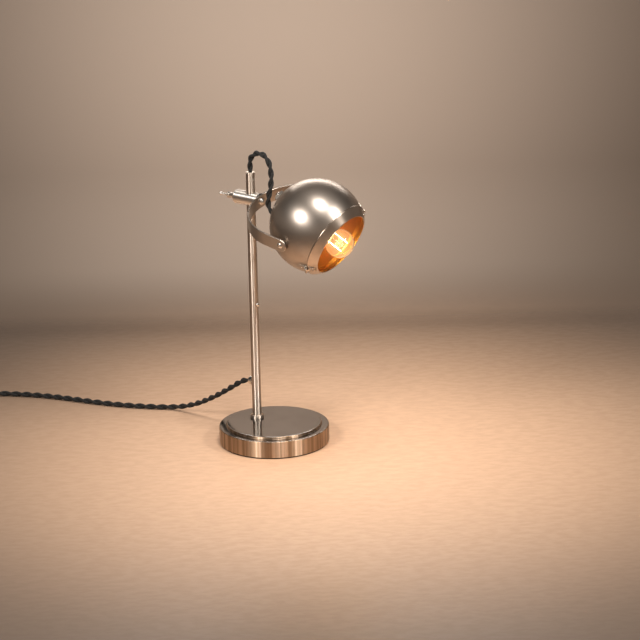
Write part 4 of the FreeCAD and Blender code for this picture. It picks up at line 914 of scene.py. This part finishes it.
def see_through_behind(material):
    """Lets the view through at the low start of the sweep and wherever its back is seen."""
    tree, shader = shader_of(material)
    clear = tree.nodes.new("ShaderNodeBsdfTransparent")
    mix = tree.nodes.new("ShaderNodeMixShader")
    height = part_of(tree, object_place(tree), "Z")
    low = between(tree, height, *sweep_fade, out_low=1.0, out_high=0.0)
    behind = tree.nodes.new("ShaderNodeNewGeometry").outputs["Backfacing"]
    tree.links.new(math_node(tree, "MAXIMUM", low, behind), mix.inputs["Fac"])
    tree.links.new(shader.outputs["BSDF"], mix.inputs[1])
    tree.links.new(clear.outputs["BSDF"], mix.inputs[2])
    tree.links.new(mix.outputs["Shader"], tree.nodes["Material Output"].inputs["Surface"])


def add_floor():
    """A wide round floor."""
    mesh = bmesh.new()
    rim = []
    for side in range(floor_sides):
        angle = full_turn * side / floor_sides
        place = Vector((math.cos(angle), math.sin(angle), 0.0)) * floor_radius
        rim.append(mesh.verts.new(place))
    mesh.faces.new(rim)
    floor = new_piece("studio_floor", mesh, stage_finish(*stage_axes()))


def sweep_profile():
    """Distance behind the lamp and height of each row of the backdrop, from its start up."""
    profile = [(sweep_start, sweep_lift)]
    for step in range(1, sweep_steps + 1):
        angle = math.pi / 2 * step / sweep_steps
        distance = sweep_start + sweep_radius * math.sin(angle)
        profile.append((distance, sweep_radius * (1 - math.cos(angle))))
    profile.append((sweep_start + sweep_radius, backdrop_top))
    return profile


def add_backdrop():
    """A sweep that rises into a wall on the far side of the lamp."""
    away, across = stage_axes()
    mesh = bmesh.new()
    rows = []
    for distance, height in sweep_profile():
        middle = away * distance + upright * height
        ends = (middle - across * backdrop_half_width, middle + across * backdrop_half_width)
        rows.append([mesh.verts.new(end) for end in ends])
    for row, following in zip(rows, rows[1:]):
        mesh.faces.new((row[0], row[1], following[1], following[0])).smooth = True
    material = stage_finish(away, across)
    see_through_behind(material)
    backdrop = new_piece("studio_backdrop", mesh, material)


# ---- Light ----------------------------------------------------------------------------
# Lights round the lamp: direction from the head, distance, width and depth, watts, whether
# they light matt surfaces, and whether shiny ones mirror them.
lights = {
    "left_softbox": (Vector((-0.852, 0.077, 0.517)), 1.5, (0.46, 0.46), 14.0, True, True),
    "top_softbox": (Vector((-0.224, -0.361, 0.905)), 1.5, (0.38, 0.38), 12.5, True, True),
    "right_softbox": (Vector((0.079, -0.826, 0.558)), 1.5, (0.38, 0.38), 12.5, True, True),
    "rear_strip": (Vector((0.680, 0.573, 0.457)), 0.7, (0.80, 0.10), 1.7, False, True),
    "overhead_fill": (Vector((-0.05, -0.15, 0.987)), 1.9, (1.1, 1.1), 22.0, True, False),
}
light_color = (1.0, 0.95, 0.90)

bulb_light_power = 0.38
bulb_light_color = (1.0, 0.67, 0.34)
bulb_light_radius = 0.006

# The room that the metal mirrors, by the height of the direction it is seen in.
room_low = (0.21, 0.168, 0.138)
room_high = (0.010, 0.009, 0.008)
room_overhead = (0.20, 0.175, 0.155)
room_seen = (0.10, 0.077, 0.062)      # past the stage, straight from the camera
room_horizon = (0.18, 0.40)
room_ceiling = (0.60, 0.95)

bloom_threshold = 1.2
bloom_strength = 1.0
bloom_size = 0.45


def add_lights():
    for name, (direction, distance, size, power, lighting, mirrored) in lights.items():
        data = bpy.data.lights.new(name, "AREA")
        data.shape = "ELLIPSE"
        data.size, data.size_y = size
        data.energy = power
        data.color = light_color
        light = bpy.data.objects.new(name, data)
        light.location = ball_center + direction * distance
        light.rotation_euler = direction.to_track_quat("Z", "Y").to_euler()
        light.visible_camera = False
        light.visible_diffuse = lighting
        light.visible_glossy = mirrored
        scene.collection.objects.link(light)


def add_room():
    """A dim room round the stage: brown low down, nearly black above, paler right overhead."""
    world = bpy.data.worlds.new("studio_world")
    world.use_nodes = True
    tree = world.node_tree
    background = tree.nodes["Background"]
    direction = tree.nodes.new("ShaderNodeTexCoord").outputs["Generated"]
    height = part_of(tree, direction, "Z")
    upper = blend_colors(tree, between(tree, height, *room_ceiling), room_high, room_overhead)
    room = blend_colors(tree, between(tree, height, *room_horizon), room_low, upper)
    seen = tree.nodes.new("ShaderNodeLightPath").outputs["Is Camera Ray"]
    tree.links.new(blend_colors(tree, seen, room, room_seen), background.inputs["Color"])
    background.inputs["Strength"].default_value = 1.0
    scene.world = world


def add_bulb_light():
    """The light of the bulb, which moves with the head and which the globe doesn't shade."""
    data = bpy.data.lights.new("bulb_light", "POINT")
    data.energy = bulb_light_power
    data.color = bulb_light_color
    data.shadow_soft_size = bulb_light_radius
    light = bpy.data.objects.new("bulb_light", data)
    light.location = beam_point(ahead=globe_ahead)
    light.visible_camera = False
    light.visible_transmission = False
    scene.collection.objects.link(light)
    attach(light, "head")
    nodes["bulb_globe"].visible_shadow = False


def add_bloom():
    """The soft bloom that a lens gives round the lit bulb and the brightest reflections."""
    scene.use_nodes = True
    tree = scene.node_tree
    tree.nodes.clear()
    picture = tree.nodes.new("CompositorNodeRLayers")
    bloom = tree.nodes.new("CompositorNodeGlare")
    bloom.glare_type = "BLOOM"
    bloom.quality = "HIGH"
    bloom.inputs["Threshold"].default_value = bloom_threshold
    bloom.inputs["Strength"].default_value = bloom_strength
    bloom.inputs["Size"].default_value = bloom_size
    result = tree.nodes.new("CompositorNodeComposite")
    tree.links.new(picture.outputs["Image"], bloom.inputs["Image"])
    tree.links.new(bloom.outputs["Image"], result.inputs["Image"])


finish_nodes()
add_jumper()
add_mains_cord()
add_bulb_insides()
add_floor()
add_backdrop()
add_lights()
add_room()
add_bulb_light()
add_bloom()
scene.view_settings.view_transform = "Standard"
